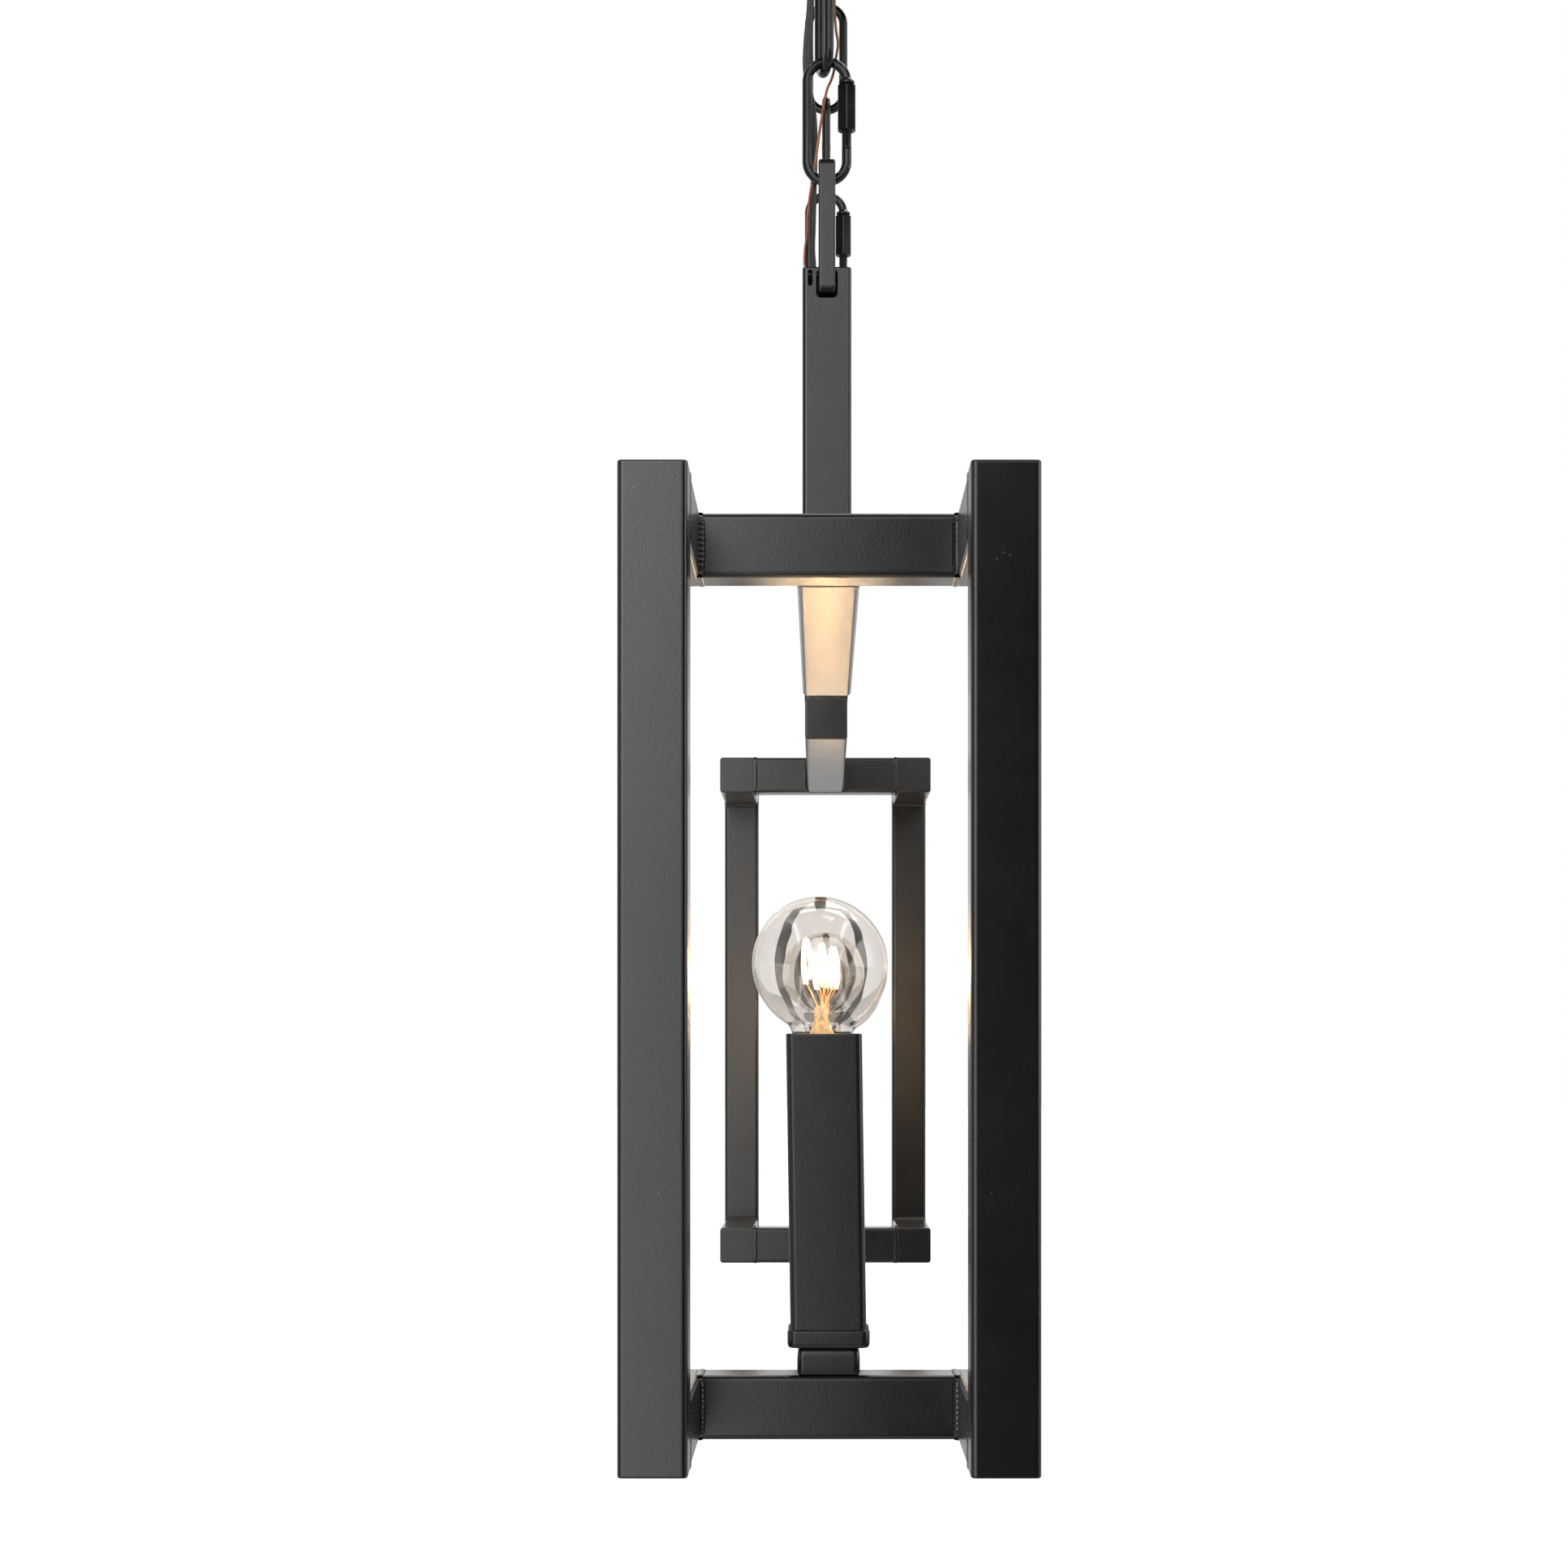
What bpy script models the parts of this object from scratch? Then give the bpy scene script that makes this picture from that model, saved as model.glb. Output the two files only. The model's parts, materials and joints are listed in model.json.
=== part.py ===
"""A long linear hanging lantern: an open frame of square tube on two chains, with a row of candles.

X is across the lantern, Y along it and Z up. The origin is the middle of the ceiling
bracket's top face. Heights in the code are above the underside of the frame.
"""

import math

import bpy
import bmesh
from mathutils import Vector

# Frame
TUBE = 0.025  # square tube, outside
WALL = 0.0012
CORNER = 0.002
FRAME_LENGTH = 1.250
FRAME_WIDTH = 0.150
FRAME_HEIGHT = 0.360
CROSSBAR_SETBACK = 0.1096  # from the posts' inner faces to a crossbar's inner face
STEM_SPACING = 0.250
STEM_TOP = 0.551
GAP = 0.0003  # between pieces that touch

# Suspension
DROP = 0.822  # from the ceiling to the underside of the frame
WIRE = 0.0050
LINK_LENGTH = 0.0664  # outside
LINK_WIDTH = 0.0253
LOOP_BAR = 0.008  # width of the hanging loop's flat bar
LOOP_THICK = 0.0035
LOOP_INSIDE = 0.027  # along Y
LOOP_BOTTOM = 0.5371
LOOP_TOP = 0.6053

# Candles
CANDLE_COUNT = 5
SLEEVE = 0.0295
SLEEVE_WALL = 0.0011
SLEEVE_BOTTOM = 0.0377
SLEEVE_TOP = 0.1578
BULB_RADIUS = 0.0267
BULB_CENTRE = 0.1848

# Ceiling pieces
CANOPY_WIDTH = 0.110
CANOPY_LENGTH = 0.360
CANOPY_DEPTH = 0.022
BRACKET_THICK = 0.0025

# Heights that follow from the dimensions above
BEND = (LINK_WIDTH - WIRE) / 2  # radius of a link's ends, at the wire's middle
LINK_STEP = LINK_LENGTH - WIRE - (WIRE + GAP)  # from one link to the next
SADDLE = 0.004  # from the wire's middle up to the flat bar that lies across its bend
QUICK_LOW = LOOP_TOP - LOOP_THICK - SADDLE  # middle of the wire at the quick link's foot
MIDDLE_LOW = QUICK_LOW + LINK_STEP
UPPER_LOW = MIDDLE_LOW + LINK_STEP
EYE_LOW = UPPER_LOW + LINK_STEP
CROSSBAR_INNER = FRAME_LENGTH / 2 - TUBE - CROSSBAR_SETBACK
CROSSBAR_MIDDLE = CROSSBAR_INNER + TUBE / 2
POST_X = (FRAME_WIDTH - TUBE) / 2
ENDS = {"near": -1, "far": 1}
SIDES = {"left": -1, "right": 1}

# Colour, roughness, metallic
FINISHES = {
    "powder_coat": ((0.018, 0.018, 0.020), 0.38, 0.0),
    "black_link": ((0.012, 0.012, 0.013), 0.25, 0.4),
    "socket": ((0.80, 0.78, 0.70), 0.55, 0.0),
    "clear_glass": ((0.95, 0.93, 0.88), 0.05, 0.0),
    "bracket_steel": ((0.60, 0.60, 0.58), 0.40, 1.0),
    "cord_jacket": ((0.015, 0.015, 0.015), 0.45, 0.0),
    "copper": ((0.75, 0.38, 0.22), 0.35, 1.0),
}


def clear_scene():
    for old in list(bpy.data.objects):
        bpy.data.objects.remove(old, do_unlink=True)


def material(node, finish):
    colour, roughness, metallic = FINISHES[finish]
    made = bpy.data.materials.new(node)
    made.use_nodes = True
    shader = made.node_tree.nodes["Principled BSDF"]
    shader.inputs["Base Color"].default_value = (*colour, 1.0)
    shader.inputs["Roughness"].default_value = roughness
    shader.inputs["Metallic"].default_value = metallic
    return made


def at(x, y, height):
    """A point given by its height above the frame's underside."""
    return Vector((x, y, height - DROP))


def empty(name, place, parent=None):
    made = bpy.data.objects.new(name, None)
    bpy.context.collection.objects.link(made)
    put(made, place, parent)
    return made


def put(obj, place, parent):
    """Puts an object at a world place under a parent that is not turned."""
    obj.parent = parent
    offset = Vector((0, 0, 0))
    while parent:
        offset += parent.location
        parent = parent.parent
    obj.location = place - offset


def add(name, data, finish, place, parent):
    """Links one named piece, with its own material."""
    made = bpy.data.objects.new(name, data)
    bpy.context.collection.objects.link(made)
    data.materials.append(material(name, finish))
    put(made, place, parent)
    return made


def smooth(mesh, angle=35):
    mesh.shade_smooth()
    mesh.set_sharp_from_angle(angle=math.radians(angle))


# Shapes


def outline(half_x, half_y, radius, z, steps=2):
    """A rectangle with round corners, anticlockwise seen from above."""
    points = []
    for quarter, (sx, sy) in enumerate([(1, 1), (-1, 1), (-1, -1), (1, -1)]):
        centre = Vector((sx * (half_x - radius), sy * (half_y - radius), z))
        for k in range(steps + 1):
            angle = math.pi / 2 * (quarter + k / steps)
            points.append(centre + radius * Vector((math.cos(angle), math.sin(angle), 0)))
    return points


def bridged(name, rings, closed):
    """Skins a list of rings of equal count. A closed body joins its last ring to its first."""
    bm = bmesh.new()
    rows = [[bm.verts.new(point) for point in ring] for ring in rings]
    pairs = list(zip(rows, rows[1:]))
    if closed:
        pairs.append((rows[-1], rows[0]))
    for low, high in pairs:
        for k, vert in enumerate(low):
            after = (k + 1) % len(low)
            bm.faces.new((vert, low[after], high[after], high[k]))
    if not closed:
        bm.faces.new(rows[0][::-1])
        bm.faces.new(rows[-1])
    bmesh.ops.recalc_face_normals(bm, faces=bm.faces)
    mesh = bpy.data.meshes.new(name)
    bm.to_mesh(mesh)
    bm.free()
    smooth(mesh)
    return mesh


def square_tube_mesh(name, length, closed_low, closed_high, hatch=None):
    """A tube's outer skin along +Z. hatch is a stretch of its -Y face that is left open."""
    cuts = sorted({0.0, length, *(hatch or ())})
    bm = bmesh.new()
    rings = [outline(TUBE / 2, TUBE / 2, CORNER, z) for z in cuts]
    rows = [[bm.verts.new(point) for point in ring] for ring in rings]
    for low, high in zip(rows, rows[1:]):
        for k, vert in enumerate(low):
            after = (k + 1) % len(low)
            flat_side = vert.co.y < 0 and abs(vert.co.y - low[after].co.y) < 1e-6
            inside_hatch = hatch and abs(vert.co.z - hatch[0]) < 1e-6
            if not (flat_side and inside_hatch):
                bm.faces.new((vert, low[after], high[after], high[k]))
    if closed_low:
        bm.faces.new(rows[0][::-1])
    if closed_high:
        bm.faces.new(rows[-1])
    mesh = bpy.data.meshes.new(name)
    bm.to_mesh(mesh)
    bm.free()
    smooth(mesh)
    return mesh


def hollow(obj, wall):
    """Gives an outer skin its wall, on the inside."""
    solid = obj.modifiers.new("Wall", "SOLIDIFY")
    solid.thickness = wall
    solid.offset = -1
    solid.use_even_offset = True


def square_tube(name, start, along, length, parent, low=False, high=False, hatch=None, turn=0):
    """A length of the frame's tube. low and high say which ends are closed."""
    mesh = square_tube_mesh(name, length, low, high, hatch)
    made = add(name, mesh, "powder_coat", start, parent)
    made.rotation_euler = {
        "X": (0, math.pi / 2, 0),
        "Y": (-math.pi / 2, 0, 0),
        "Z": (0, 0, turn),
    }[along]
    hollow(made, WALL)
    return made


def turned_mesh(name, profile):
    """The profile of a turned piece, (radius, z) from the top down its outside."""
    mesh = bpy.data.meshes.new(name)
    edges = [(k, k + 1) for k in range(len(profile) - 1)]
    mesh.from_pydata([(radius, 0, z) for radius, z in profile], edges, [])
    return mesh


def turned(name, profile, finish, place, parent, steps=14):
    made = add(name, turned_mesh(name, profile), finish, place, parent)
    spin = made.modifiers.new("Turn", "SCREW")
    spin.steps = steps
    spin.render_steps = steps
    spin.use_merge_vertices = True
    spin.merge_threshold = 0.00001
    spin.use_smooth_shade = True
    return made


def cutter(name, mesh, place, parent):
    made = bpy.data.objects.new(name, mesh)
    bpy.context.collection.objects.link(made)
    put(made, place, parent)
    made.hide_render = True
    made.display_type = "WIRE"
    return made


def cut(obj, tool):
    boolean = obj.modifiers.new(tool.name, "BOOLEAN")
    boolean.operation = "DIFFERENCE"
    boolean.solver = "EXACT"
    boolean.object = tool


def drill(obj, name, places, radius, low, high, sides=12):
    """Drills round holes along Z at (x, y) places, between two world heights."""
    bm = bmesh.new()
    for x, y in places:
        made = bmesh.ops.create_cone(
            bm,
            cap_ends=True,
            segments=sides,
            radius1=radius,
            radius2=radius,
            depth=high - low,
        )
        bmesh.ops.translate(bm, vec=(x, y, (low + high) / 2), verts=made["verts"])
    mesh = bpy.data.meshes.new(name)
    bm.to_mesh(mesh)
    bm.free()
    cut(obj, cutter(name, mesh, Vector((0, 0, 0)), None))


def wire_curve(name, points, diameter, cyclic=False, swell=None):
    """A round wire along points. swell gives some points a larger radius, by their index."""
    curve = bpy.data.curves.new(name, "CURVE")
    curve.dimensions = "3D"
    curve.bevel_depth = diameter / 2
    curve.bevel_resolution = 2
    curve.use_fill_caps = not cyclic
    spline = curve.splines.new("POLY")
    spline.points.add(len(points) - 1)
    for k, point in enumerate(points):
        spline.points[k].co = (*point, 1)
        spline.points[k].radius = (swell or {}).get(k, 1.0)
    spline.use_cyclic_u = cyclic
    return curve


def arc(centre_z, first, last, steps):
    """Points of a link's end in its own plane, as (across, z), by angle in degrees."""
    points = []
    for k in range(steps + 1):
        angle = math.radians(first + (last - first) * k / steps)
        points.append((BEND * math.cos(angle), centre_z + BEND * math.sin(angle)))
    return points


def across(points, plane):
    """Turns (across, z) points into space: a link lies across the lantern or along it."""
    if plane == "X":
        return [(u, 0, z) for u, z in points]
    return [(0, u, z) for u, z in points]


ROUTE_STEPS = 24


def smooth_route(route, step):
    """Points a step apart on a Catmull-Rom curve through the route's own points."""
    ends = [route[0] * 2 - route[1], *route, route[-1] * 2 - route[-2]]
    dense = []
    for a, b, c, d in zip(ends, ends[1:], ends[2:], ends[3:]):
        for k in range(ROUTE_STEPS):
            t = k / ROUTE_STEPS
            dense.append(
                0.5
                * (
                    2 * b
                    + (c - a) * t
                    + (2 * a - 5 * b + 4 * c - d) * t**2
                    + (3 * b - a - 3 * c + d) * t**3
                )
            )
    dense.append(route[-1])
    run = [0.0]
    for p, q in zip(dense, dense[1:]):
        run.append(run[-1] + (q - p).length)
    count = round(run[-1] / step)
    points = []
    k = 0
    for n in range(count + 1):
        target = run[-1] * n / count
        while k < len(run) - 2 and run[k + 1] < target:
            k += 1
        share = (target - run[k]) / (run[k + 1] - run[k])
        points.append(dense[k].lerp(dense[k + 1], min(share, 1.0)))
    return points


# Ceiling pieces

LOOP_Y = STEM_SPACING / 2
SCREW_Y = 0.060
LEG_HOLE = 0.0029
SCREW_HOLE = 0.0024
BUSH_AT = (-0.020, -0.118)
BUSH_HOLE = 0.0063


def ceiling_bracket(parent):
    bm = bmesh.new()
    bmesh.ops.create_cube(bm, size=1)
    size = Vector((0.030, 0.330, BRACKET_THICK))
    bmesh.ops.scale(bm, vec=size, verts=bm.verts)
    mesh = bpy.data.meshes.new("ceiling_bracket")
    bm.to_mesh(mesh)
    bm.free()
    middle = Vector((0, 0, -BRACKET_THICK / 2))
    bracket = add("ceiling_bracket", mesh, "bracket_steel", middle, parent)
    drill(bracket, "bracket_leg_holes", leg_places(), LEG_HOLE, -0.004, 0.001)
    screws = [(0, -SCREW_Y), (0, SCREW_Y)]
    drill(bracket, "bracket_screw_holes", screws, SCREW_HOLE, -0.004, 0.001)


def leg_places():
    return [(0, sign * LOOP_Y + leg) for sign in (-1, 1) for leg in (-BEND, BEND)]


def canopy(parent):
    """A pan with rolled lower edges, open towards the ceiling."""
    half_x = CANOPY_WIDTH / 2
    half_y = CANOPY_LENGTH / 2
    side = [(0.0, -GAP), (0.0, -CANOPY_DEPTH + 0.003), (0.0009, -CANOPY_DEPTH + 0.0009)]
    side.append((0.003, -CANOPY_DEPTH))
    rings = [outline(half_x - inset, half_y - inset, 0.010 - inset, z, 3) for inset, z in side]
    bm = bmesh.new()
    rows = [[bm.verts.new(point) for point in ring] for ring in rings]
    for high, low in zip(rows, rows[1:]):
        for k, vert in enumerate(low):
            after = (k + 1) % len(low)
            bm.faces.new((vert, low[after], high[after], high[k]))
    bm.faces.new(rows[-1][::-1])
    mesh = bpy.data.meshes.new("canopy")
    bm.to_mesh(mesh)
    bm.free()
    smooth(mesh)
    pan = add("canopy", mesh, "powder_coat", Vector((0, 0, 0)), parent)
    hollow(pan, WALL)
    low = -CANOPY_DEPTH - 0.001
    drill(pan, "canopy_leg_holes", leg_places(), LEG_HOLE, low, low + 0.005)
    screws = [(0, -SCREW_Y), (0, SCREW_Y)]
    drill(pan, "canopy_screw_holes", screws, SCREW_HOLE, low, low + 0.005)
    drill(pan, "canopy_bush_hole", [BUSH_AT], BUSH_HOLE, low, low + 0.005)


def canopy_loop(name, y, parent):
    """A bent eye whose legs go up through the canopy into the bracket."""
    bend = arc(BEND, 180, 360, 8)
    top = DROP - 2 * GAP - EYE_LOW
    legs = [(-BEND, top), *bend, (BEND, top)]
    curve = wire_curve(name, across(legs, "Y"), WIRE)
    add(name, curve, "black_link", at(0, y, EYE_LOW), parent)


def canopy_screw(name, y, parent):
    """A screw with a round knob under the canopy."""
    under = -CANOPY_DEPTH - GAP
    profile = [
        (0, -2 * GAP),
        (0.0019, -2 * GAP),
        (0.0019, under),
        (0.0052, under),
        (0.0056, under - 0.0020),
        (0.0048, under - 0.0050),
        (0.0025, under - 0.0066),
        (0, under - 0.0070),
    ]
    turned(name, profile, "powder_coat", Vector((0, y, 0)), parent)


def cord_bush(parent):
    """A flanged plastic bush in the canopy, clipped from below."""
    under = -CANOPY_DEPTH - GAP
    shape = [
        (0.0058, under + 0.0035),
        (0.0058, under),
        (0.0082, under),
        (0.0080, under - 0.0018),
        (0.0050, under - 0.0018),
        (0.0048, under + 0.0035),
    ]
    rings = [outline(radius, radius, radius * 0.9999, z, 4) for radius, z in shape]
    mesh = bridged("cord_bush", rings, closed=True)
    add("cord_bush", mesh, "cord_jacket", Vector((*BUSH_AT, 0)), parent)


# Chains


def chain_link(name, y, low, plane, parent):
    """A welded link. low is the height of its wire's middle at the bottom."""
    straight = LINK_LENGTH - WIRE - 2 * BEND
    points = arc(BEND, 180, 360, 8) + arc(BEND + straight, 0, 180, 8)
    curve = wire_curve(name, across(points, plane), WIRE, cyclic=True)
    add(name, curve, "black_link", at(0, y, low), parent)


COLLAR_SWELL = 1.66
NUT_FLATS = 0.0091
NUT_BORE = 0.0030
NUT_TOP = 0.0494  # above the quick link's lowest wire middle
NUT_LENGTH = 0.0238
LINK_GATE = (0.0372, 0.0462)  # the gap in the leg that the nut closes


def quick_link(name, y, parent):
    """A link with a gap in its right leg, between a threaded end and an end with a collar."""
    straight = LINK_LENGTH - WIRE - 2 * BEND
    top = BEND + straight
    points = [(BEND, LINK_GATE[0])]
    points += arc(BEND, 360, 180, 8)
    points += arc(top, 180, 12, 8)
    collar = len(points)
    points += arc(top, 10, 9, 1)
    points += [(BEND, NUT_TOP + GAP + 0.0001), (BEND, NUT_TOP + GAP)]
    points += [(BEND, LINK_GATE[1])]
    swell = {k: COLLAR_SWELL for k in (collar + 1, collar + 2)}
    curve = wire_curve(name, across(points, "X"), WIRE, swell=swell)
    add(name, curve, "black_link", at(0, y, QUICK_LOW), parent)


def link_nut(name, y, parent):
    """The hexagon nut that closes a quick link, with a corner towards the lantern's ends."""
    bm = bmesh.new()
    corner = NUT_FLATS / math.sqrt(3)
    bmesh.ops.create_cone(
        bm, cap_ends=True, segments=6, radius1=corner, radius2=corner, depth=NUT_LENGTH
    )
    rims = [edge for edge in bm.edges if abs(edge.verts[0].co.z - edge.verts[1].co.z) < 1e-6]
    bmesh.ops.bevel(bm, geom=rims, offset=0.0008, segments=1, affect="EDGES")
    mesh = bpy.data.meshes.new(name)
    bm.to_mesh(mesh)
    bm.free()
    middle = at(BEND, y, QUICK_LOW + NUT_TOP - NUT_LENGTH / 2)
    nut = add(name, mesh, "black_link", middle, parent)
    drill(nut, name + "_bore", [middle.xy], NUT_BORE, middle.z - 0.02, middle.z + 0.02, 12)


# Frame


def posts(parent):
    hatch = (FRAME_HEIGHT - TUBE + 0.005, FRAME_HEIGHT - 0.005)
    for end, way in ENDS.items():
        for side, hand in SIDES.items():
            place = at(hand * POST_X, way * (FRAME_LENGTH - TUBE) / 2, 0)
            turn = 0 if way > 0 else math.pi
            name = f"{end}_{side}_post"
            square_tube(name, place, "Z", FRAME_HEIGHT, parent, True, True, hatch, turn)


def bar_heights():
    return {"bottom": TUBE / 2, "top": FRAME_HEIGHT - TUBE / 2}


def side_bars(parent):
    length = CROSSBAR_SETBACK - GAP
    for end, way in ENDS.items():
        for side, hand in SIDES.items():
            for level, height in bar_heights().items():
                start = CROSSBAR_INNER if way > 0 else -CROSSBAR_INNER - length
                name = f"{end}_{side}_{level}_side_bar"
                place = at(hand * POST_X, start, height)
                square_tube(name, place, "Y", length, parent, way > 0, way < 0)


def crossbars(parent):
    length = FRAME_WIDTH - 2 * TUBE - 2 * GAP
    for end, way in ENDS.items():
        for level, height in bar_heights().items():
            place = at(-length / 2, way * CROSSBAR_MIDDLE, height)
            square_tube(f"{end}_{level}_crossbar", place, "X", length, parent)


def spines(parent):
    outer = CROSSBAR_INNER - GAP
    inner = STEM_SPACING / 2 - TUBE / 2
    heights = bar_heights()
    for end, way in ENDS.items():
        start = inner if way > 0 else -outer
        name = f"{end}_top_spine"
        place = at(0, start, heights["top"])
        square_tube(name, place, "Y", outer - inner, parent, way > 0, way < 0)
    place = at(0, -outer, heights["bottom"])
    square_tube("bottom_spine", place, "Y", 2 * outer, parent)


WINDOW_WIDTH = 0.011
WINDOW_LOW = 0.5317
WINDOW_HIGH = 0.5495
ENTRY_X = -0.0078
ENTRY_RADIUS = 0.0034


def stem(name, y, outboard, parent):
    """Stands on the spine's end. The hanging loop goes through its two windows."""
    low = FRAME_HEIGHT + GAP
    made = square_tube(name, at(0, y, low), "Z", STEM_TOP - low, parent, high=True)
    window = outline(WINDOW_WIDTH / 2, (WINDOW_HIGH - WINDOW_LOW) / 2, 0.0022, 0)
    middle = (WINDOW_LOW + WINDOW_HIGH) / 2
    rings = [[Vector((p.x, depth, p.y)) for p in window] for depth in (-0.02, 0.02)]
    mesh = bridged(name + "_windows", rings, closed=False)
    cut(made, cutter(name + "_windows", mesh, at(0, y, middle), parent))
    slot = outline(0.0012, 0.0042, 0.0011, 0)
    rings = [[Vector((p.x, depth, p.y)) for p in slot] for depth in (-0.004, 0.004)]
    mesh = bridged(name + "_slot", rings, closed=False)
    place = at(-0.0085, y + outboard * TUBE / 2, 0.5453)
    cut(made, cutter(name + "_slot", mesh, place, parent))
    entry_top = STEM_TOP - DROP + 0.002
    drill(made, name + "_entry", [(ENTRY_X, y)], ENTRY_RADIUS, entry_top - 0.006, entry_top)


def hanging_loop(name, y, parent):
    """A rectangle of flat bar in the lengthwise plane, through the stem's windows."""
    half = LOOP_INSIDE / 2
    height = LOOP_TOP - LOOP_BOTTOM
    rings = []
    for half_x in (-LOOP_BAR / 2, LOOP_BAR / 2):
        outer = outline(half + LOOP_THICK, height / 2, 0.003, half_x)
        inner = outline(half, height / 2 - LOOP_THICK, 0.0005, half_x)
        outer = [Vector((half_x, p.x, p.y)) for p in outer]
        inner = [Vector((half_x, p.x, p.y)) for p in inner]
        rings += [outer, inner] if half_x > 0 else [inner, outer]
    mesh = bridged(name, rings, closed=True)
    add(name, mesh, "powder_coat", at(0, y, LOOP_BOTTOM + height / 2), parent)


# Candles

CUP_FOOT = TUBE + GAP
CUP_BORE = 0.0052
NECK_HALF = 0.0118
PAN_HALF = 0.0160
PAN_WALL = 0.0009
PAN_LOW = 0.0358
PAN_HIGH = 0.0428


def candle_cup(name, y, parent):
    """A square neck under a shallow square pan that holds the sleeve's foot."""
    floor = PAN_LOW + 0.0016
    shape = [
        (NECK_HALF, 0.0020, CUP_FOOT),
        (NECK_HALF, 0.0020, PAN_LOW - 0.0025),
        (NECK_HALF - 0.0012, 0.0020, PAN_LOW),
        (PAN_HALF - 0.0016, 0.0024, PAN_LOW),
        (PAN_HALF - 0.0003, 0.0028, PAN_LOW + 0.0018),
        (PAN_HALF, 0.0028, PAN_HIGH),
        (PAN_HALF - PAN_WALL, 0.0020, PAN_HIGH),
        (PAN_HALF - PAN_WALL - 0.0002, 0.0020, floor),
        (CUP_BORE, CUP_BORE * 0.9999, floor),
        (CUP_BORE, CUP_BORE * 0.9999, CUP_FOOT),
    ]
    rings = [outline(half, half, radius, z - CUP_FOOT, 3) for half, radius, z in shape]
    mesh = bridged(name, rings, closed=True)
    add(name, mesh, "powder_coat", at(0, y, CUP_FOOT), parent)


def candle_sleeve(name, y, parent):
    half = SLEEVE / 2
    inside = half - SLEEVE_WALL
    height = SLEEVE_TOP - SLEEVE_BOTTOM
    shape = [
        (half, 0.0023, 0),
        (half, 0.0023, height - 0.0004),
        (half - 0.0004, 0.0021, height),
        (inside, 0.0013, height),
        (inside, 0.0013, 0),
    ]
    rings = [outline(size, size, radius, z) for size, radius, z in shape]
    mesh = bridged(name, rings, closed=True)
    add(name, mesh, "powder_coat", at(0, y, SLEEVE_BOTTOM), parent)


SOCKET_TOP = 0.1502


def lamp_socket(name, y, parent):
    """A screw socket on a hollow threaded post that stands in the cup's neck."""
    profile = [
        (0.0066, SOCKET_TOP),
        (0.0083, SOCKET_TOP),
        (0.0083, 0.1130),
        (0.0047, 0.1100),
        (0.0047, CUP_FOOT),
        (0.0025, CUP_FOOT),
        (0.0025, 0.1150),
        (0.0066, 0.1290),
        (0.0066, SOCKET_TOP),
    ]
    profile = [(radius, z - CUP_FOOT) for radius, z in profile]
    turned(name, profile, "socket", at(0, y, CUP_FOOT), parent, steps=12)


BULB_WALL = 0.0010
BULB_NECK = 0.0117
BASE_RADIUS = 0.0059
BASE_LOW = 0.1310


def bulb_profile():
    """Down the outside of the globe and its base, then up the inside to the top again."""
    outer_last = math.asin(BULB_NECK / BULB_RADIUS)
    inside = BULB_RADIUS - BULB_WALL
    inner_last = math.asin((BULB_NECK - BULB_WALL) / inside)
    outer = [(math.pi - outer_last) * k / 7 for k in range(8)]
    inner = [(math.pi - inner_last) * k / 5 for k in range(6)]
    profile = [(BULB_RADIUS * math.sin(a), BULB_CENTRE + BULB_RADIUS * math.cos(a)) for a in outer]
    profile += [(BULB_NECK - 0.0004, 0.1570), (0.0075, 0.1523), (BASE_RADIUS, 0.1512)]
    profile += [(BASE_RADIUS, BASE_LOW + 0.002), (0.0042, BASE_LOW), (0.0025, BASE_LOW)]
    profile += [(0.0032, BASE_LOW + 0.003), (0.0050, BASE_LOW + 0.004), (0.0050, 0.1522)]
    profile += [(BULB_NECK - 0.0014, 0.1577)]
    profile += [(inside * math.sin(a), BULB_CENTRE + inside * math.cos(a)) for a in inner[::-1]]
    return [(max(radius, 0.0), z - BASE_LOW) for radius, z in profile]


def bulb(name, y, parent):
    seat = empty(name + "_thread", at(0, y, BASE_LOW), parent)
    turned(name, bulb_profile(), "clear_glass", at(0, y, BASE_LOW), seat, steps=14)


# Supply cord and ground wire

CORD_WIDTH = 0.0042
GROUND_WIDTH = 0.0014

# Routes as (x, y, height) from the canopy's bush to the near stem
CORD_ROUTE = [
    (-0.0200, -0.1192, 0.8020),
    (-0.0200, -0.1192, 0.7960),
    (-0.0186, -0.1190, 0.7840),
    (-0.0160, -0.1190, 0.7680),
    (-0.0125, -0.1190, 0.7430),
    (-0.0092, -0.1190, 0.7150),
    (-0.0084, -0.1190, 0.6930),
    (-0.0102, -0.1190, 0.6720),
    (-0.0106, -0.1190, 0.6580),
    (-0.0090, -0.1186, 0.6460),
    (-0.0070, -0.1178, 0.6330),
    (-0.0064, -0.1175, 0.6180),
    (-0.0067, -0.1176, 0.6030),
    (-0.0070, -0.1184, 0.5900),
    (-0.0073, -0.1198, 0.5760),
    (-0.0076, -0.1222, 0.5640),
    (-0.0071, -0.1246, 0.5550),
    (-0.0069, -0.1250, 0.5480),
    (-0.0069, -0.1250, 0.5380),
]
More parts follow.
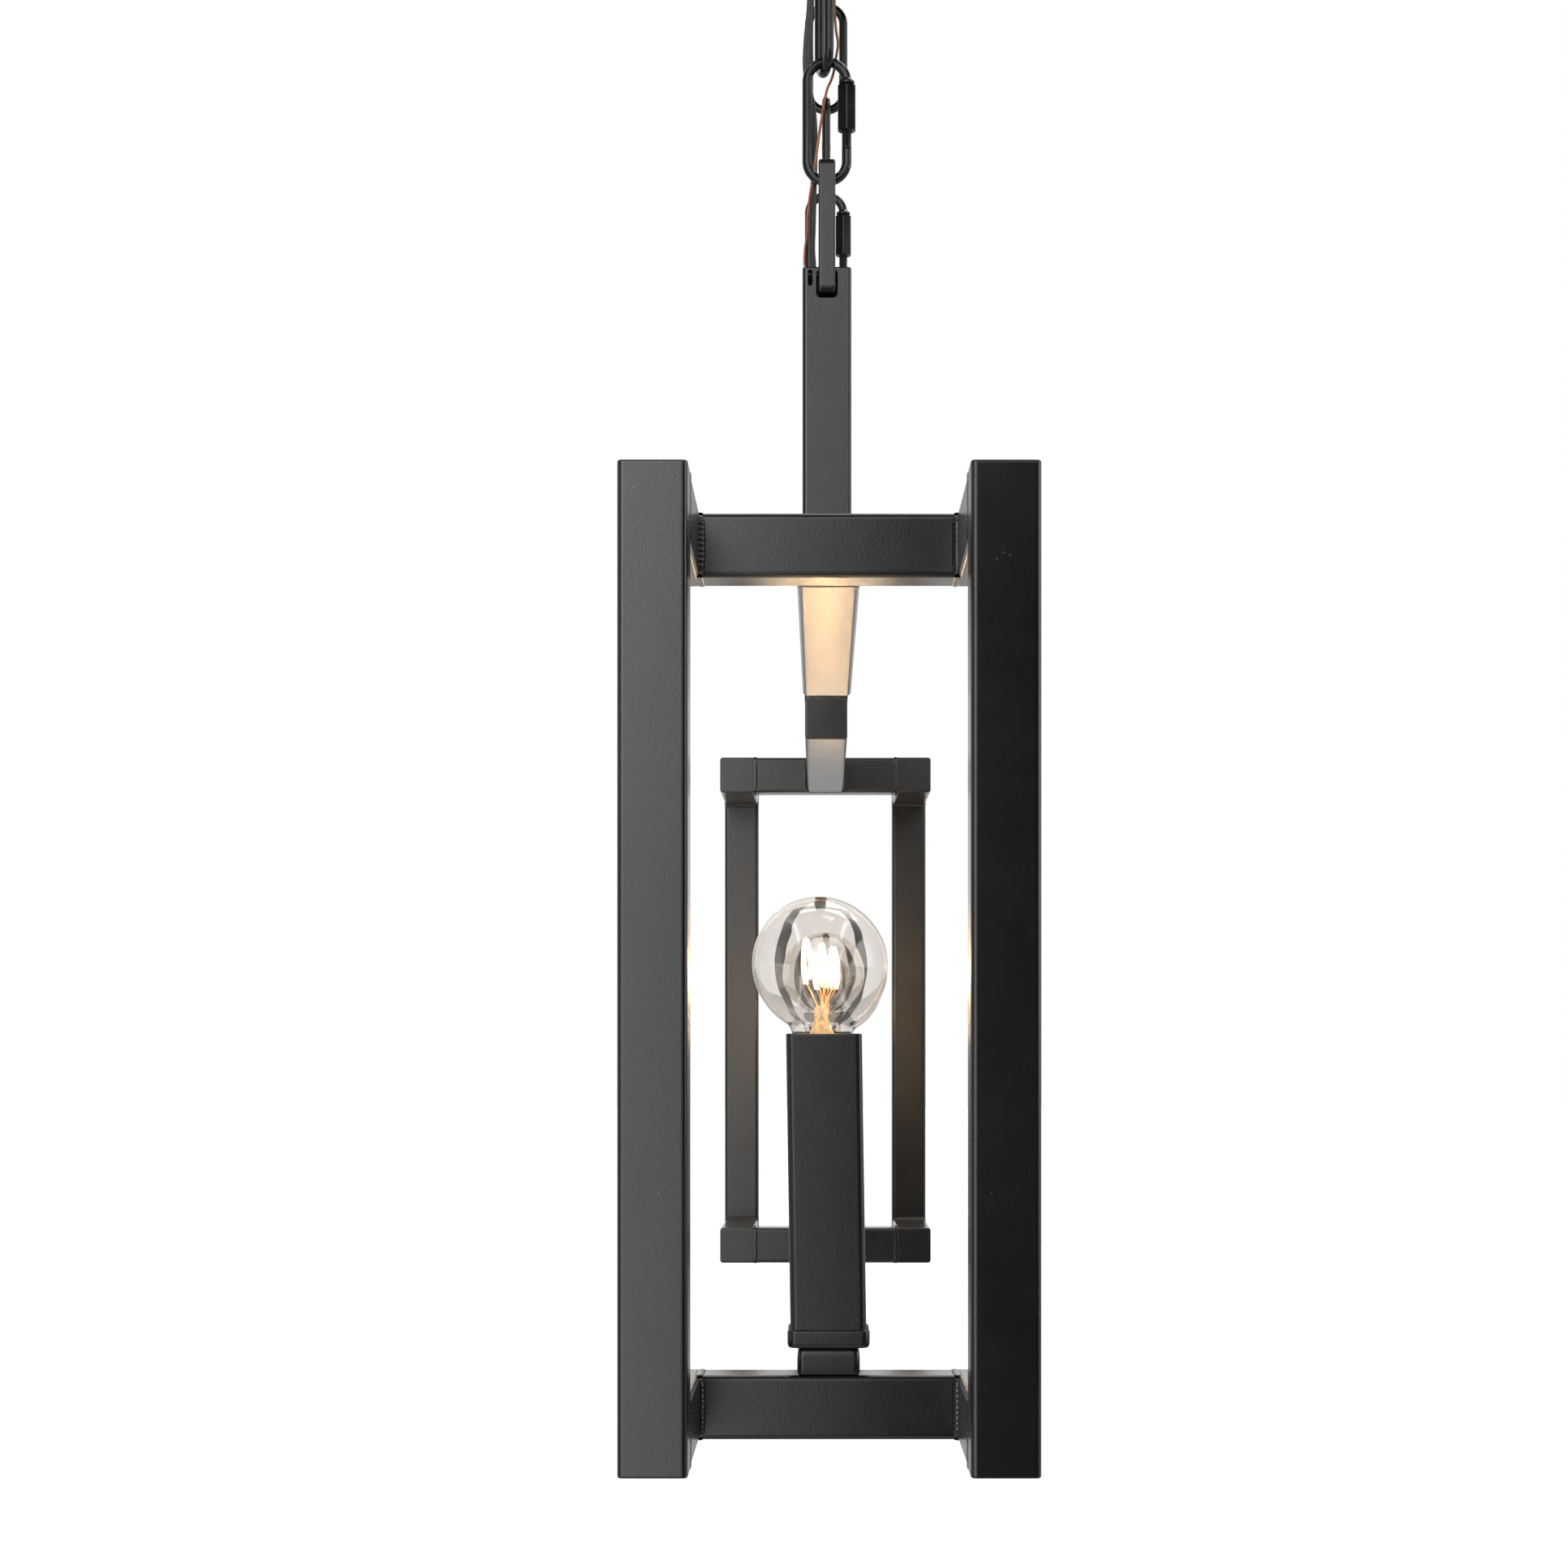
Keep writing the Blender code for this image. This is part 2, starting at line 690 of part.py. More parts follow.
GROUND_ROUTE = [
    (-0.0200, -0.1153, 0.8020),
    (-0.0200, -0.1153, 0.7970),
    (-0.0188, -0.1153, 0.7860),
    (-0.0125, -0.1154, 0.7700),
    (-0.0045, -0.1168, 0.7530),
    (0.0015, -0.1188, 0.7370),
    (0.0044, -0.1196, 0.7200),
    (0.0042, -0.1196, 0.7050),
    (0.0039, -0.1196, 0.6900),
    (0.0047, -0.1196, 0.6780),
    (0.0057, -0.1196, 0.6705),
    (0.0047, -0.1196, 0.6630),
    (0.0036, -0.1197, 0.6562),
    (0.0021, -0.1198, 0.6512),
    (0.0002, -0.1199, 0.6470),
    (-0.0015, -0.1201, 0.6390),
    (-0.0036, -0.1204, 0.6260),
    (-0.0056, -0.1209, 0.6110),
    (-0.0072, -0.1213, 0.6010),
    (-0.0087, -0.1218, 0.5910),
    (-0.0099, -0.1226, 0.5800),
    (-0.0101, -0.1230, 0.5720),
    (-0.0112, -0.1233, 0.5630),
    (-0.0115, -0.1243, 0.5560),
    (-0.0104, -0.1250, 0.5505),
    (-0.0101, -0.1250, 0.5430),
]


def cord(name, route, diameter, step, finish, parent):
    route = [at(*point) for point in route]
    start = route[0]
    points = [point - start for point in smooth_route(route, step)]
    add(name, wire_curve(name, points, diameter), finish, start, parent)


def build():
    clear_scene()
    ceiling = empty("ceiling", Vector((0, 0, 0)))
    ceiling_bracket(ceiling)
    canopy(ceiling)
    cord_bush(ceiling)

    side_axis = empty("side_swing_axis", at(0, 0, EYE_LOW), ceiling)
    near_axis = empty("near_chain_axis", at(0, -LOOP_Y, UPPER_LOW), side_axis)
    far_axis = empty("far_chain_axis", at(0, LOOP_Y, UPPER_LOW), side_axis)
    frame_axis = empty("frame_axis", at(0, -LOOP_Y, QUICK_LOW), near_axis)
    for end, way in ENDS.items():
        y = way * LOOP_Y
        swing = near_axis if way < 0 else far_axis
        canopy_loop(f"{end}_canopy_loop", y, ceiling)
        canopy_screw(f"{end}_canopy_screw", way * SCREW_Y, ceiling)
        chain_link(f"{end}_upper_link", y, UPPER_LOW, "X", side_axis)
        chain_link(f"{end}_middle_link", y, MIDDLE_LOW, "Y", swing)
        quick_link(f"{end}_quick_link", y, swing)
        link_nut(f"{end}_link_nut", y, swing)
        stem(f"{end}_stem", y, way, frame_axis)
        hanging_loop(f"{end}_hanging_loop", y, frame_axis)

    posts(frame_axis)
    side_bars(frame_axis)
    crossbars(frame_axis)
    spines(frame_axis)

    for k in range(CANDLE_COUNT):
        y = CROSSBAR_MIDDLE * (2 * k / (CANDLE_COUNT - 1) - 1)
        number = k + 1
        candle_cup(f"candle_cup_{number}", y, frame_axis)
        candle_sleeve(f"candle_sleeve_{number}", y, frame_axis)
        lamp_socket(f"lamp_socket_{number}", y, frame_axis)
        bulb(f"bulb_{number}", y, frame_axis)

    cord("supply_cord", CORD_ROUTE, CORD_WIDTH, 0.009, "cord_jacket", near_axis)
    cord("ground_wire", GROUND_ROUTE, GROUND_WIDTH, 0.0042, "copper", near_axis)


build()
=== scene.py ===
import json

import bpy
import numpy as np
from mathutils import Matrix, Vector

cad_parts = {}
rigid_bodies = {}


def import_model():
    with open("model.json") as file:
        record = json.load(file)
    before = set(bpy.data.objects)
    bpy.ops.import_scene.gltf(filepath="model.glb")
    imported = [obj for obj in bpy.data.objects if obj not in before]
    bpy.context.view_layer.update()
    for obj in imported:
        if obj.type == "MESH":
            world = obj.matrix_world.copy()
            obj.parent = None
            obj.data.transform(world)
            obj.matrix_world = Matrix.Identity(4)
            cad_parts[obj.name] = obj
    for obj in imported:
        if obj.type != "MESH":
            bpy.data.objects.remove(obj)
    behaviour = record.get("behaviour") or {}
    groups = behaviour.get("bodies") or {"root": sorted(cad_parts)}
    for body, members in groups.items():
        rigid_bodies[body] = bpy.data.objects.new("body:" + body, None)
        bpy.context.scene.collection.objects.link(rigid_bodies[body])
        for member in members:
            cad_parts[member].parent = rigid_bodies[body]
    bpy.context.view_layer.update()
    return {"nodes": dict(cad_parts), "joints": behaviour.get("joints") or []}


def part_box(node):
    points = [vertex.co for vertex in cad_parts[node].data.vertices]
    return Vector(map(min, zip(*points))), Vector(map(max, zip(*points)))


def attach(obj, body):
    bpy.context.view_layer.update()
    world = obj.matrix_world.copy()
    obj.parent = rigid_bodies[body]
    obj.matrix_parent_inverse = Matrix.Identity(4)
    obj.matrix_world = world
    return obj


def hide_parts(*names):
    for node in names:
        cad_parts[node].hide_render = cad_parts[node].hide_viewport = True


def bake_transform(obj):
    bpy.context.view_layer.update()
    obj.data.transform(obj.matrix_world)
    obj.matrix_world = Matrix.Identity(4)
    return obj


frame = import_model()
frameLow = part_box("near_left_post")[0].z  # heights below are above the frame's underside
print("frame loaded:", len(frame["nodes"]), "CAD nodes")


def placed(name, data):
    made = bpy.data.objects.new(name, data)
    bpy.context.scene.collection.objects.link(made)
    return made


# The camera looks along the lantern from below its middle
camera = {
    "lens": 71.3, "sensor": 36.0, "shift": (-0.024, 0.170),
    "place": (-0.0027, -1.721), "height": 0.1512,
}

cameraData = bpy.data.cameras.new("camera")
cameraData.lens = camera["lens"]
cameraData.sensor_width = camera["sensor"]
cameraData.shift_x, cameraData.shift_y = camera["shift"]
cameraObject = placed("camera", cameraData)
cameraObject.location = (*camera["place"], frameLow + camera["height"])
cameraObject.rotation_euler = (np.pi / 2, 0, 0)
bpy.context.scene.camera = cameraObject


# Tools for surfaces
def unit(vectors):
    return vectors / np.linalg.norm(vectors, axis=-1, keepdims=True)


def box(node):
    low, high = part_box(node)
    return np.array(low), np.array(high)


# Quads join each ring of a grid to the next, and a fan of triangles closes each open end.
def shell(grid, loop=False, lids=(True, True)):
    rings, around = grid.shape[:2]
    points = grid.reshape(-1, 3)
    row = np.arange(rings if loop else rings - 1)[:, None]
    column = np.arange(around)[None, :]
    above = (row + 1) % rings
    beside = (column + 1) % around
    corners = [row * around + column, row * around + beside, above * around + beside, above * around + column]
    quads = np.stack(corners, -1).reshape(-1, 4)
    fans = [np.zeros((0, 3), int)]
    for end, ring in enumerate((0, rings - 1)):
        if loop or not lids[end]:
            continue
        edge = ring * around + np.arange(around)
        ahead = np.roll(edge, -1)
        middle = np.full(around, len(points))
        fans.append(np.stack([ahead, edge, middle] if end == 0 else [edge, ahead, middle], 1))
        points = np.vstack([points, grid[ring].mean(0)])
    return points, quads, np.vstack(fans)


def gathered(parts):
    points, quads, triangles, count = [], [], [], 0
    for some, four, three in parts:
        points.append(some)
        quads.append(four + count)
        triangles.append(three + count)
        count += len(some)
    return np.vstack(points), np.vstack(quads), np.vstack(triangles)


def meshOf(name, points, quads, triangles):
    mesh = bpy.data.meshes.new(name)
    mesh.from_pydata(points.tolist(), [], quads.tolist() + triangles.tolist())
    return mesh


# A new piece: its shells as one mesh, its finish, the body that it rides on and the CAD nodes that it
# stands for. Edges sharper than crease stay hard. lay holds a cord's own coordinates, point by point.
def piece(name, parts, finish, body=None, stands=(), crease=32, lay=None):
    mesh = meshOf(name, *gathered(parts))
    if lay is not None:
        mesh.attributes.new("lay", "FLOAT_VECTOR", "POINT").data.foreach_set("vector", lay.ravel())
    made = placed(name, mesh)
    surface, slotName = finishes[finish]
    mesh.materials.append(surface)
    mesh.shade_smooth()
    mesh.set_sharp_from_angle(angle=np.radians(crease))
    if body:
        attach(made, body)
    if stands:
        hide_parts(*stands)
    return made


# A path's two side vectors: a is square to the path and to the reference, and a x b runs along it.
def sideVectors(path, reference, loop=False):
    along = np.roll(path, -1, 0) - np.roll(path, 1, 0) if loop else np.gradient(path, axis=0)
    along = unit(along)
    a = unit(np.cross(reference, along))
    return a, np.cross(along, a)


# A profile carried along a path: path + a * profile x + b * profile y. The profile may change on the way.
def carried(path, profile, reference, loop=False):
    a, b = sideVectors(path, np.array(reference, float), loop)
    profile = np.broadcast_to(profile, (len(path), *np.shape(profile)[-2:]))
    return path[:, None] + a[:, None] * profile[..., :1] + b[:, None] * profile[..., 1:]


def circle(radius, steps):
    turn = np.arange(steps) / steps * 2 * np.pi
    return radius * np.stack([np.cos(turn), np.sin(turn)], 1)


# A profile (radius, height) turned about Z: x = r cos t, y = r sin t.
def turned(profile, centre, steps=48):
    profile = np.array(profile, float)
    ring = circle(1.0, steps)
    grid = np.zeros((len(profile), steps, 3))
    grid[..., :2] = profile[:, None, :1] * ring
    grid[..., 2] = profile[:, None, 1]
    return grid + np.array(centre)


# Rings round Z whose radius changes with the turn and the level: x = radius cos t, y = radius sin t.
def ringed(radius, level):
    turn = np.arange(radius.shape[1]) / radius.shape[1] * 2 * np.pi
    return np.stack([radius * np.cos(turn), radius * np.sin(turn), np.broadcast_to(level, radius.shape)], -1)


# A rectangle with round corners, anticlockwise, with one more point on each flat close to the corner.
def roundedBox(halfX, halfY, radius, steps=8, near=0.0005):
    turn = np.linspace(0, np.pi / 2, steps + 1)
    corner = radius * np.stack([np.cos(turn), np.sin(turn)], 1)
    corner = np.vstack([[radius, -near], corner, [-near, radius]])
    quarters = []
    for k, (sideX, sideY) in enumerate([(1, 1), (-1, 1), (-1, -1), (1, -1)]):
        c, s = np.cos(k * np.pi / 2), np.sin(k * np.pi / 2)
        place = [sideX * (halfX - radius), sideY * (halfY - radius)]
        quarters.append(corner @ np.array([[c, s], [-s, c]]) + place)
    return np.vstack(quarters)


# Flat outlines set at their levels along an axis.
def stacked(outlines, levels, origin, axis="Z"):
    u, v, w = {"X": (1, 2, 0), "Y": (2, 0, 1), "Z": (0, 1, 2)}[axis]
    grid = np.zeros((len(outlines), len(outlines[0]), 3))
    grid[..., u] = np.array(outlines)[..., 0]
    grid[..., v] = np.array(outlines)[..., 1]
    grid[..., w] = np.array(levels)[:, None]
    return grid + np.array(origin)


# An even walk along a Catmull-Rom curve through a route's own points.
def smoothRoute(route, step):
    p = np.array(route, float) + [0, 0, frameLow]
    p = np.vstack([2 * p[0] - p[1], p, 2 * p[-1] - p[-2]])
    a, b, c, d = (p[k:len(p) - 3 + k, None] for k in range(4))
    t = np.linspace(0, 1, 24, endpoint=False)[:, None]
    dense = 0.5 * (2 * b + (c - a) * t + (2 * a - 5 * b + 4 * c - d) * t**2 + (3 * b - a - 3 * c + d) * t**3)
    dense = np.vstack([dense.reshape(-1, 3), p[-2]])
    run = np.concatenate([[0], np.cumsum(np.linalg.norm(np.diff(dense, axis=0), axis=1))])
    even = np.linspace(0, run[-1], round(run[-1] / step) + 1)
    return np.stack([np.interp(even, run, dense[:, k]) for k in range(3)], 1), even


# Bumps that wander along a piece: a few sines of unlike pitch, seeded by a number.
def wander(values, pitch, seed):
    waves = [(1.0, 0.6), (1.7, 0.3), (2.9, 0.15)]
    return sum(size * np.sin(values / pitch * rate * 2 * np.pi + seed * (3 + rate)) for rate, size in waves)


# Tools for materials
def addNode(tree, kind, **values):
    made = tree.nodes.new(kind)
    for key, value in values.items():
        if key in made.inputs:
            made.inputs[key].default_value = value
        else:
            setattr(made, key, value)
    return made


def objectPlace(tree):
    return addNode(tree, "ShaderNodeTexCoord").outputs["Object"]


def layPlace(tree):
    return addNode(tree, "ShaderNodeAttribute", attribute_name="lay").outputs["Vector"]


def noise(tree, place, scale, detail=2.0, stretch=(1, 1, 1)):
    made = addNode(tree, "ShaderNodeTexNoise", Scale=scale, Detail=detail)
    if stretch != (1, 1, 1):
        mapping = addNode(tree, "ShaderNodeMapping", Scale=stretch)
        tree.links.new(place, mapping.inputs["Vector"])
        place = mapping.outputs["Vector"]
    tree.links.new(place, made.inputs["Vector"])
    return made.outputs["Fac"]


def ranged(tree, value, low, high, start=0.3, end=0.7):
    made = addNode(tree, "ShaderNodeMapRange")
    for k, number in enumerate((start, end, low, high)):
        made.inputs[k + 1].default_value = number
    tree.links.new(value, made.inputs[0])
    return made.outputs[0]


def blendColours(tree, factor, first, second):
    made = addNode(tree, "ShaderNodeMix", data_type="RGBA")
    tree.links.new(factor, made.inputs[0])
    for socket, colour in ((made.inputs[6], first), (made.inputs[7], second)):
        if isinstance(colour, tuple):
            socket.default_value = (*colour, 1)
        else:
            tree.links.new(colour, socket)
    return made.outputs[2]


# A colour that wanders between a dark and a light one by a noise.
def mottled(tree, place, scale, detail, dark, light):
    return blendColours(tree, ranged(tree, noise(tree, place, scale, detail), 0, 1), dark, light)


# Small round marks: 1 inside a cell's middle, 0 outside, kept only where a slower noise is high.
def specks(tree, place, scale, size, share):
    cells = addNode(tree, "ShaderNodeTexVoronoi", Scale=scale)
    tree.links.new(place, cells.inputs["Vector"])
    dots = ranged(tree, cells.outputs["Distance"], 1, 0, size * 0.6, size)
    kept = ranged(tree, noise(tree, place, scale * 0.37, 1.0), 0, 1, share, share + 0.04)
    both = addNode(tree, "ShaderNodeMath", operation="MULTIPLY")
    tree.links.new(dots, both.inputs[0])
    tree.links.new(kept, both.inputs[1])
    return both.outputs[0]


def wired(tree, value, shader, socket):
    tree.links.new(value, shader.inputs[socket])


def bumped(tree, shader, height, strength, distance):
    made = addNode(tree, "ShaderNodeBump", Strength=strength, Distance=distance)
    tree.links.new(height, made.inputs["Height"])
    earlier = shader.inputs["Normal"].links
    if earlier:
        tree.links.new(earlier[0].from_socket, made.inputs["Normal"])
    tree.links.new(made.outputs["Normal"], shader.inputs["Normal"])


def newFinish(name, **sockets):
    made = bpy.data.materials.new(name)
    made.use_nodes = True
    shader = made.node_tree.nodes["Principled BSDF"]
    for key, value in sockets.items():
        shader.inputs[key].default_value = value
    return made, made.node_tree, shader


powderCoatLook = {
    "dark": (0.0035, 0.0035, 0.0036), "light": (0.0075, 0.0073, 0.0072), "bright": (0.015, 0.0146, 0.0144),
    "roughness": (0.195, 0.235), "grain": 900, "grainDepth": 0.00010,
    "speck": (0.075, 0.072, 0.070), "specks": (210, 0.09, 0.62),  # how fine, how large, how rare
}


def powderCoat():
    look = powderCoatLook
    made, tree, shader = newFinish("powderCoat", **{"Specular IOR Level": 0.5})
    place = objectPlace(tree)
    base = mottled(tree, place, 18, 3, look["dark"], look["light"])
    grain = ranged(tree, noise(tree, place, look["grain"] * 1.6, 1), 0, 0.35, 0.45, 0.8)
    base = blendColours(tree, grain, base, look["bright"])
    base = blendColours(tree, specks(tree, place, *look["specks"]), base, look["speck"])
    wired(tree, base, shader, "Base Color")
    wired(tree, ranged(tree, noise(tree, place, 70, 3), *look["roughness"], 0.2, 0.8), shader, "Roughness")
    bumped(tree, shader, noise(tree, place, look["grain"], 2), 0.30, look["grainDepth"])
    bumped(tree, shader, noise(tree, place, 95, 1), 0.05, 0.0004)
    return made


enamelLook = {
    "dark": (0.004, 0.004, 0.0045), "light": (0.010, 0.010, 0.010), "roughness": (0.045, 0.075),
    "steel": (0.20, 0.19, 0.18), "chips": (260, 0.11, 0.64),  # how fine, how large, how rare
}


def blackEnamel():
    look = enamelLook
    made, tree, shader = newFinish("blackEnamel", **{
        "Specular IOR Level": 0.28, "Coat Weight": 0.12, "Coat Roughness": 0.03,
    })
    place = objectPlace(tree)
    base = mottled(tree, place, 120, 3, look["dark"], look["light"])
    base = blendColours(tree, specks(tree, place, *look["chips"]), base, look["steel"])
    wired(tree, base, shader, "Base Color")
    wired(tree, ranged(tree, noise(tree, place, 300, 3), *look["roughness"]), shader, "Roughness")
    bumped(tree, shader, noise(tree, place, 420, 2), 0.10, 0.00010)
    bumped(tree, shader, noise(tree, place, 60, 1), 0.08, 0.0006)
    return made


# Painted rim shade: warmer and darker towards the globe's outline, where the glass is seen edge on, in place
# of the refraction there.
clearGlassLook = {"middle": (0.90, 0.875, 0.845), "outline": (0.60, 0.45, 0.30), "from": 0.62, "to": 0.98}


def clearGlass():
    look = clearGlassLook
    made, tree, shader = newFinish("clearGlass", **{"Transmission Weight": 1.0, "IOR": 1.47})
    place = objectPlace(tree)
    facing = addNode(tree, "ShaderNodeLayerWeight", Blend=0.5).outputs["Facing"]
    # painted rim shade: a warm dark tint by facing, standing in for refraction at the globe's edge
    outline = ranged(tree, facing, 0, 1, look["from"], look["to"])
    wired(tree, blendColours(tree, outline, look["middle"], look["outline"]), shader, "Base Color")
    wired(tree, ranged(tree, noise(tree, place, 45, 2), 0.0, 0.03), shader, "Roughness")
    bumped(tree, shader, noise(tree, place, 70, 1, (1, 1, 0.35)), 0.25, 0.0010)
    return made


# The glass mount has a painted glow in streaks, an emission in place of the light from the wires that it
# holds.
def amberGlass():
    made, tree, shader = newFinish("amberGlass", **{
        "Base Color": (1.0, 0.80, 0.52, 1), "Transmission Weight": 0.75, "IOR": 1.5, "Roughness": 0.04,
        "Emission Strength": 0.28,
    })
    place = objectPlace(tree)
    paintedGlowStreaks = ranged(tree, noise(tree, place, 420, 3, (1, 1, 0.35)), 0, 1, 0.42, 0.60)
    # painted glow: emission from dark to warm orange along the streaks
    glow = blendColours(tree, paintedGlowStreaks, (0.02, 0.006, 0.001), (1.0, 0.62, 0.26))
    wired(tree, glow, shader, "Emission Color")
    bumped(tree, shader, noise(tree, place, 320, 2), 0.7, 0.0012)
    return made


def hotFilament():
    made, tree, shader = newFinish("hotFilament", **{
        "Base Color": (0.9, 0.7, 0.5, 1), "Roughness": 0.6, "Emission Strength": 55.0,
    })
    heat = mottled(tree, objectPlace(tree), 220, 2, (1.0, 0.72, 0.38), (1.0, 0.84, 0.58))
    wired(tree, heat, shader, "Emission Color")
    return made


# The lead wires have a painted dull orange glow: they are no lamp, but an emission makes them shine.
def hotWire():
    made, tree, shader = newFinish("hotWire", **{
        "Metallic": 1.0, "Roughness": 0.35, "Emission Strength": 1.6,
    })
    grain = ranged(tree, noise(tree, objectPlace(tree), 380, 3), 0, 1)
    wired(tree, blendColours(tree, grain, (0.30, 0.20, 0.12), (0.62, 0.48, 0.34)), shader, "Base Color")
    # painted glow: the emission colour
    wired(tree, blendColours(tree, grain, (0.55, 0.16, 0.03), (1.0, 0.48, 0.14)), shader, "Emission Color")
    return made


# A drawn grain along Z moves both colour and roughness.
def brass():
    made, tree, shader = newFinish("brass", Metallic=1.0)
    grain = noise(tree, objectPlace(tree), 220, 4, (1, 1, 4))
    tone = ranged(tree, grain, 0, 1)
    wired(tree, blendColours(tree, tone, (0.55, 0.38, 0.14), (0.80, 0.60, 0.28)), shader, "Base Color")
    wired(tree, ranged(tree, grain, 0.24, 0.42), shader, "Roughness")
    bumped(tree, shader, grain, 0.3, 0.0001)
    return made


# Zinc plate: large crystals of slightly unlike grey under a rolled grain.
def zincPlate():
    made, tree, shader = newFinish("zincPlate", Metallic=1.0)
    place = objectPlace(tree)
    cells = addNode(tree, "ShaderNodeTexVoronoi", Scale=190)
    tree.links.new(place, cells.inputs["Vector"])
    tone = addNode(tree, "ShaderNodeSeparateColor")
    tree.links.new(cells.outputs["Color"], tone.inputs[0])
    colour = blendColours(tree, tone.outputs[0], (0.50, 0.51, 0.52), (0.66, 0.66, 0.65))
    wired(tree, colour, shader, "Base Color")
    wired(tree, ranged(tree, tone.outputs[1], 0.28, 0.46, 0, 1), shader, "Roughness")
    bumped(tree, shader, noise(tree, place, 300, 2, (1, 0.1, 1)), 0.25, 0.0002)
    return made


# Fine surfaces: each row is a noise, as scale and detail, with what it moves. The bump's last number
# stretches it along a cord.
fineLooks = {
    "cordPlastic": {
        "colour": (150, 3, (0.012, 0.012, 0.013), (0.026, 0.025, 0.026)),
        "rough": (500, 2), "roughness": (0.32, 0.52), "bump": (700, 2, (0.3, 1, 1)), "strength": 0.25,
    },
    "bareCopper": {
        "colour": (90, 3, (0.20, 0.085, 0.045), (0.44, 0.21, 0.12)),
        "rough": (260, 2), "roughness": (0.30, 0.50), "bump": (900, 2, (0.2, 1, 1)), "strength": 0.3,
    },
    "bushPlastic": {
        "colour": (90, 3, (0.010, 0.010, 0.011), (0.022, 0.022, 0.022)),
        "rough": (400, 2), "roughness": (0.36, 0.54), "bump": (600, 2), "strength": 0.2,
    },
    "creamPlastic": {
        "colour": (60, 4, (0.72, 0.67, 0.55), (0.83, 0.79, 0.69)),
        "rough": (300, 2), "roughness": (0.38, 0.56), "bump": (500, 2), "strength": 0.15,
    },
}


def fineFinish(name, placing, **sockets):
    look = fineLooks[name]
    made, tree, shader = newFinish(name, **sockets)
    place = placing(tree)
    wired(tree, mottled(tree, place, *look["colour"]), shader, "Base Color")
    wired(tree, ranged(tree, noise(tree, place, *look["rough"]), *look["roughness"]), shader, "Roughness")
    bumped(tree, shader, noise(tree, place, *look["bump"]), look["strength"], 0.0001)
    return made


# Each finish: its material, and the record's slot that it fills
finishes = {
    "powderCoat": (powderCoat(), "powder_coat"),
    "blackEnamel": (blackEnamel(), "black_link"),
    "clearGlass": (clearGlass(), "clear_glass"),
    "amberGlass": (amberGlass(), "clear_glass"),
    "hotFilament": (hotFilament(), None),
    "brass": (brass(), None),
    "hotWire": (hotWire(), None),
    "zincPlate": (zincPlate(), "bracket_steel"),
    "cordPlastic": (
        fineFinish("cordPlastic", layPlace, **{"Sheen Weight": 0.15, "Sheen Roughness": 0.5}), "cord_jacket",
    ),
    "bushPlastic": (fineFinish("bushPlastic", objectPlace), "cord_jacket"),
    "bareCopper": (fineFinish("bareCopper", layPlace, Metallic=1.0), "copper"),
    "creamPlastic": (fineFinish("creamPlastic", objectPlace, **{"Subsurface Weight": 0.05}), "socket"),
}
print("materials made:", len(finishes))


# Supply cord and ground wire

supplyCord = {
    "width": 0.0042, "step": 0.0008, "around": 56, "web": 0.00045, "ribDepth": 0.00005, "ribPitch": 0.00032,
    "turn": (20, 62),  # degrees that the flat section turns on its way down
    "route": [
        (-0.0200, -0.1192, 0.8020), (-0.0200, -0.1192, 0.7960), (-0.0186, -0.1190, 0.7840),
        (-0.0160, -0.1190, 0.7680), (-0.0125, -0.1190, 0.7430), (-0.0092, -0.1190, 0.7150),
        (-0.0084, -0.1190, 0.6930), (-0.0102, -0.1190, 0.6720), (-0.0106, -0.1190, 0.6580),
        (-0.0090, -0.1186, 0.6460), (-0.0070, -0.1178, 0.6330), (-0.0064, -0.1175, 0.6180),
        (-0.0067, -0.1176, 0.6030), (-0.0070, -0.1184, 0.5900), (-0.0073, -0.1198, 0.5760),
        (-0.0076, -0.1222, 0.5640), (-0.0071, -0.1246, 0.5550), (-0.0069, -0.1250, 0.5480),
        (-0.0069, -0.1250, 0.5380),
    ],
}
groundWire = {
    "width": 0.0014, "step": 0.0004, "strands": 6, "pitch": 0.0056,
    "winding": 0.0014 / 3, "strand": 0.0014 / 5.6,  # radii
    "route": [
        (-0.0200, -0.1153, 0.8020), (-0.0200, -0.1153, 0.7970), (-0.0188, -0.1153, 0.7860),
        (-0.0125, -0.1154, 0.7700), (-0.0045, -0.1168, 0.7530), (0.0015, -0.1188, 0.7370),
        (0.0044, -0.1196, 0.7200), (0.0042, -0.1196, 0.7050), (0.0039, -0.1196, 0.6900),
        (0.0047, -0.1196, 0.6780), (0.0057, -0.1196, 0.6705), (0.0047, -0.1196, 0.6630),
        (0.0036, -0.1197, 0.6562), (0.0021, -0.1198, 0.6512), (0.0002, -0.1199, 0.6470),
        (-0.0015, -0.1201, 0.6390), (-0.0036, -0.1204, 0.6260), (-0.0056, -0.1209, 0.6110),
        (-0.0072, -0.1213, 0.6010), (-0.0087, -0.1218, 0.5910), (-0.0099, -0.1226, 0.5800),
        (-0.0101, -0.1230, 0.5720), (-0.0112, -0.1233, 0.5630), (-0.0115, -0.1243, 0.5560),
        (-0.0104, -0.1250, 0.5505), (-0.0101, -0.1250, 0.5430),
    ],
}

# A cord is three lengths that meet on a shared ring, one for each joint of the chain, cut midway between the
# joints' heights
bendJoints = ("side_swing", "lengthwise_swing", "frame_level")
bends = [(j["parent"], j["child"], j["pos_m"][2]) for j in frame["joints"] if j["name"] in bendJoints]


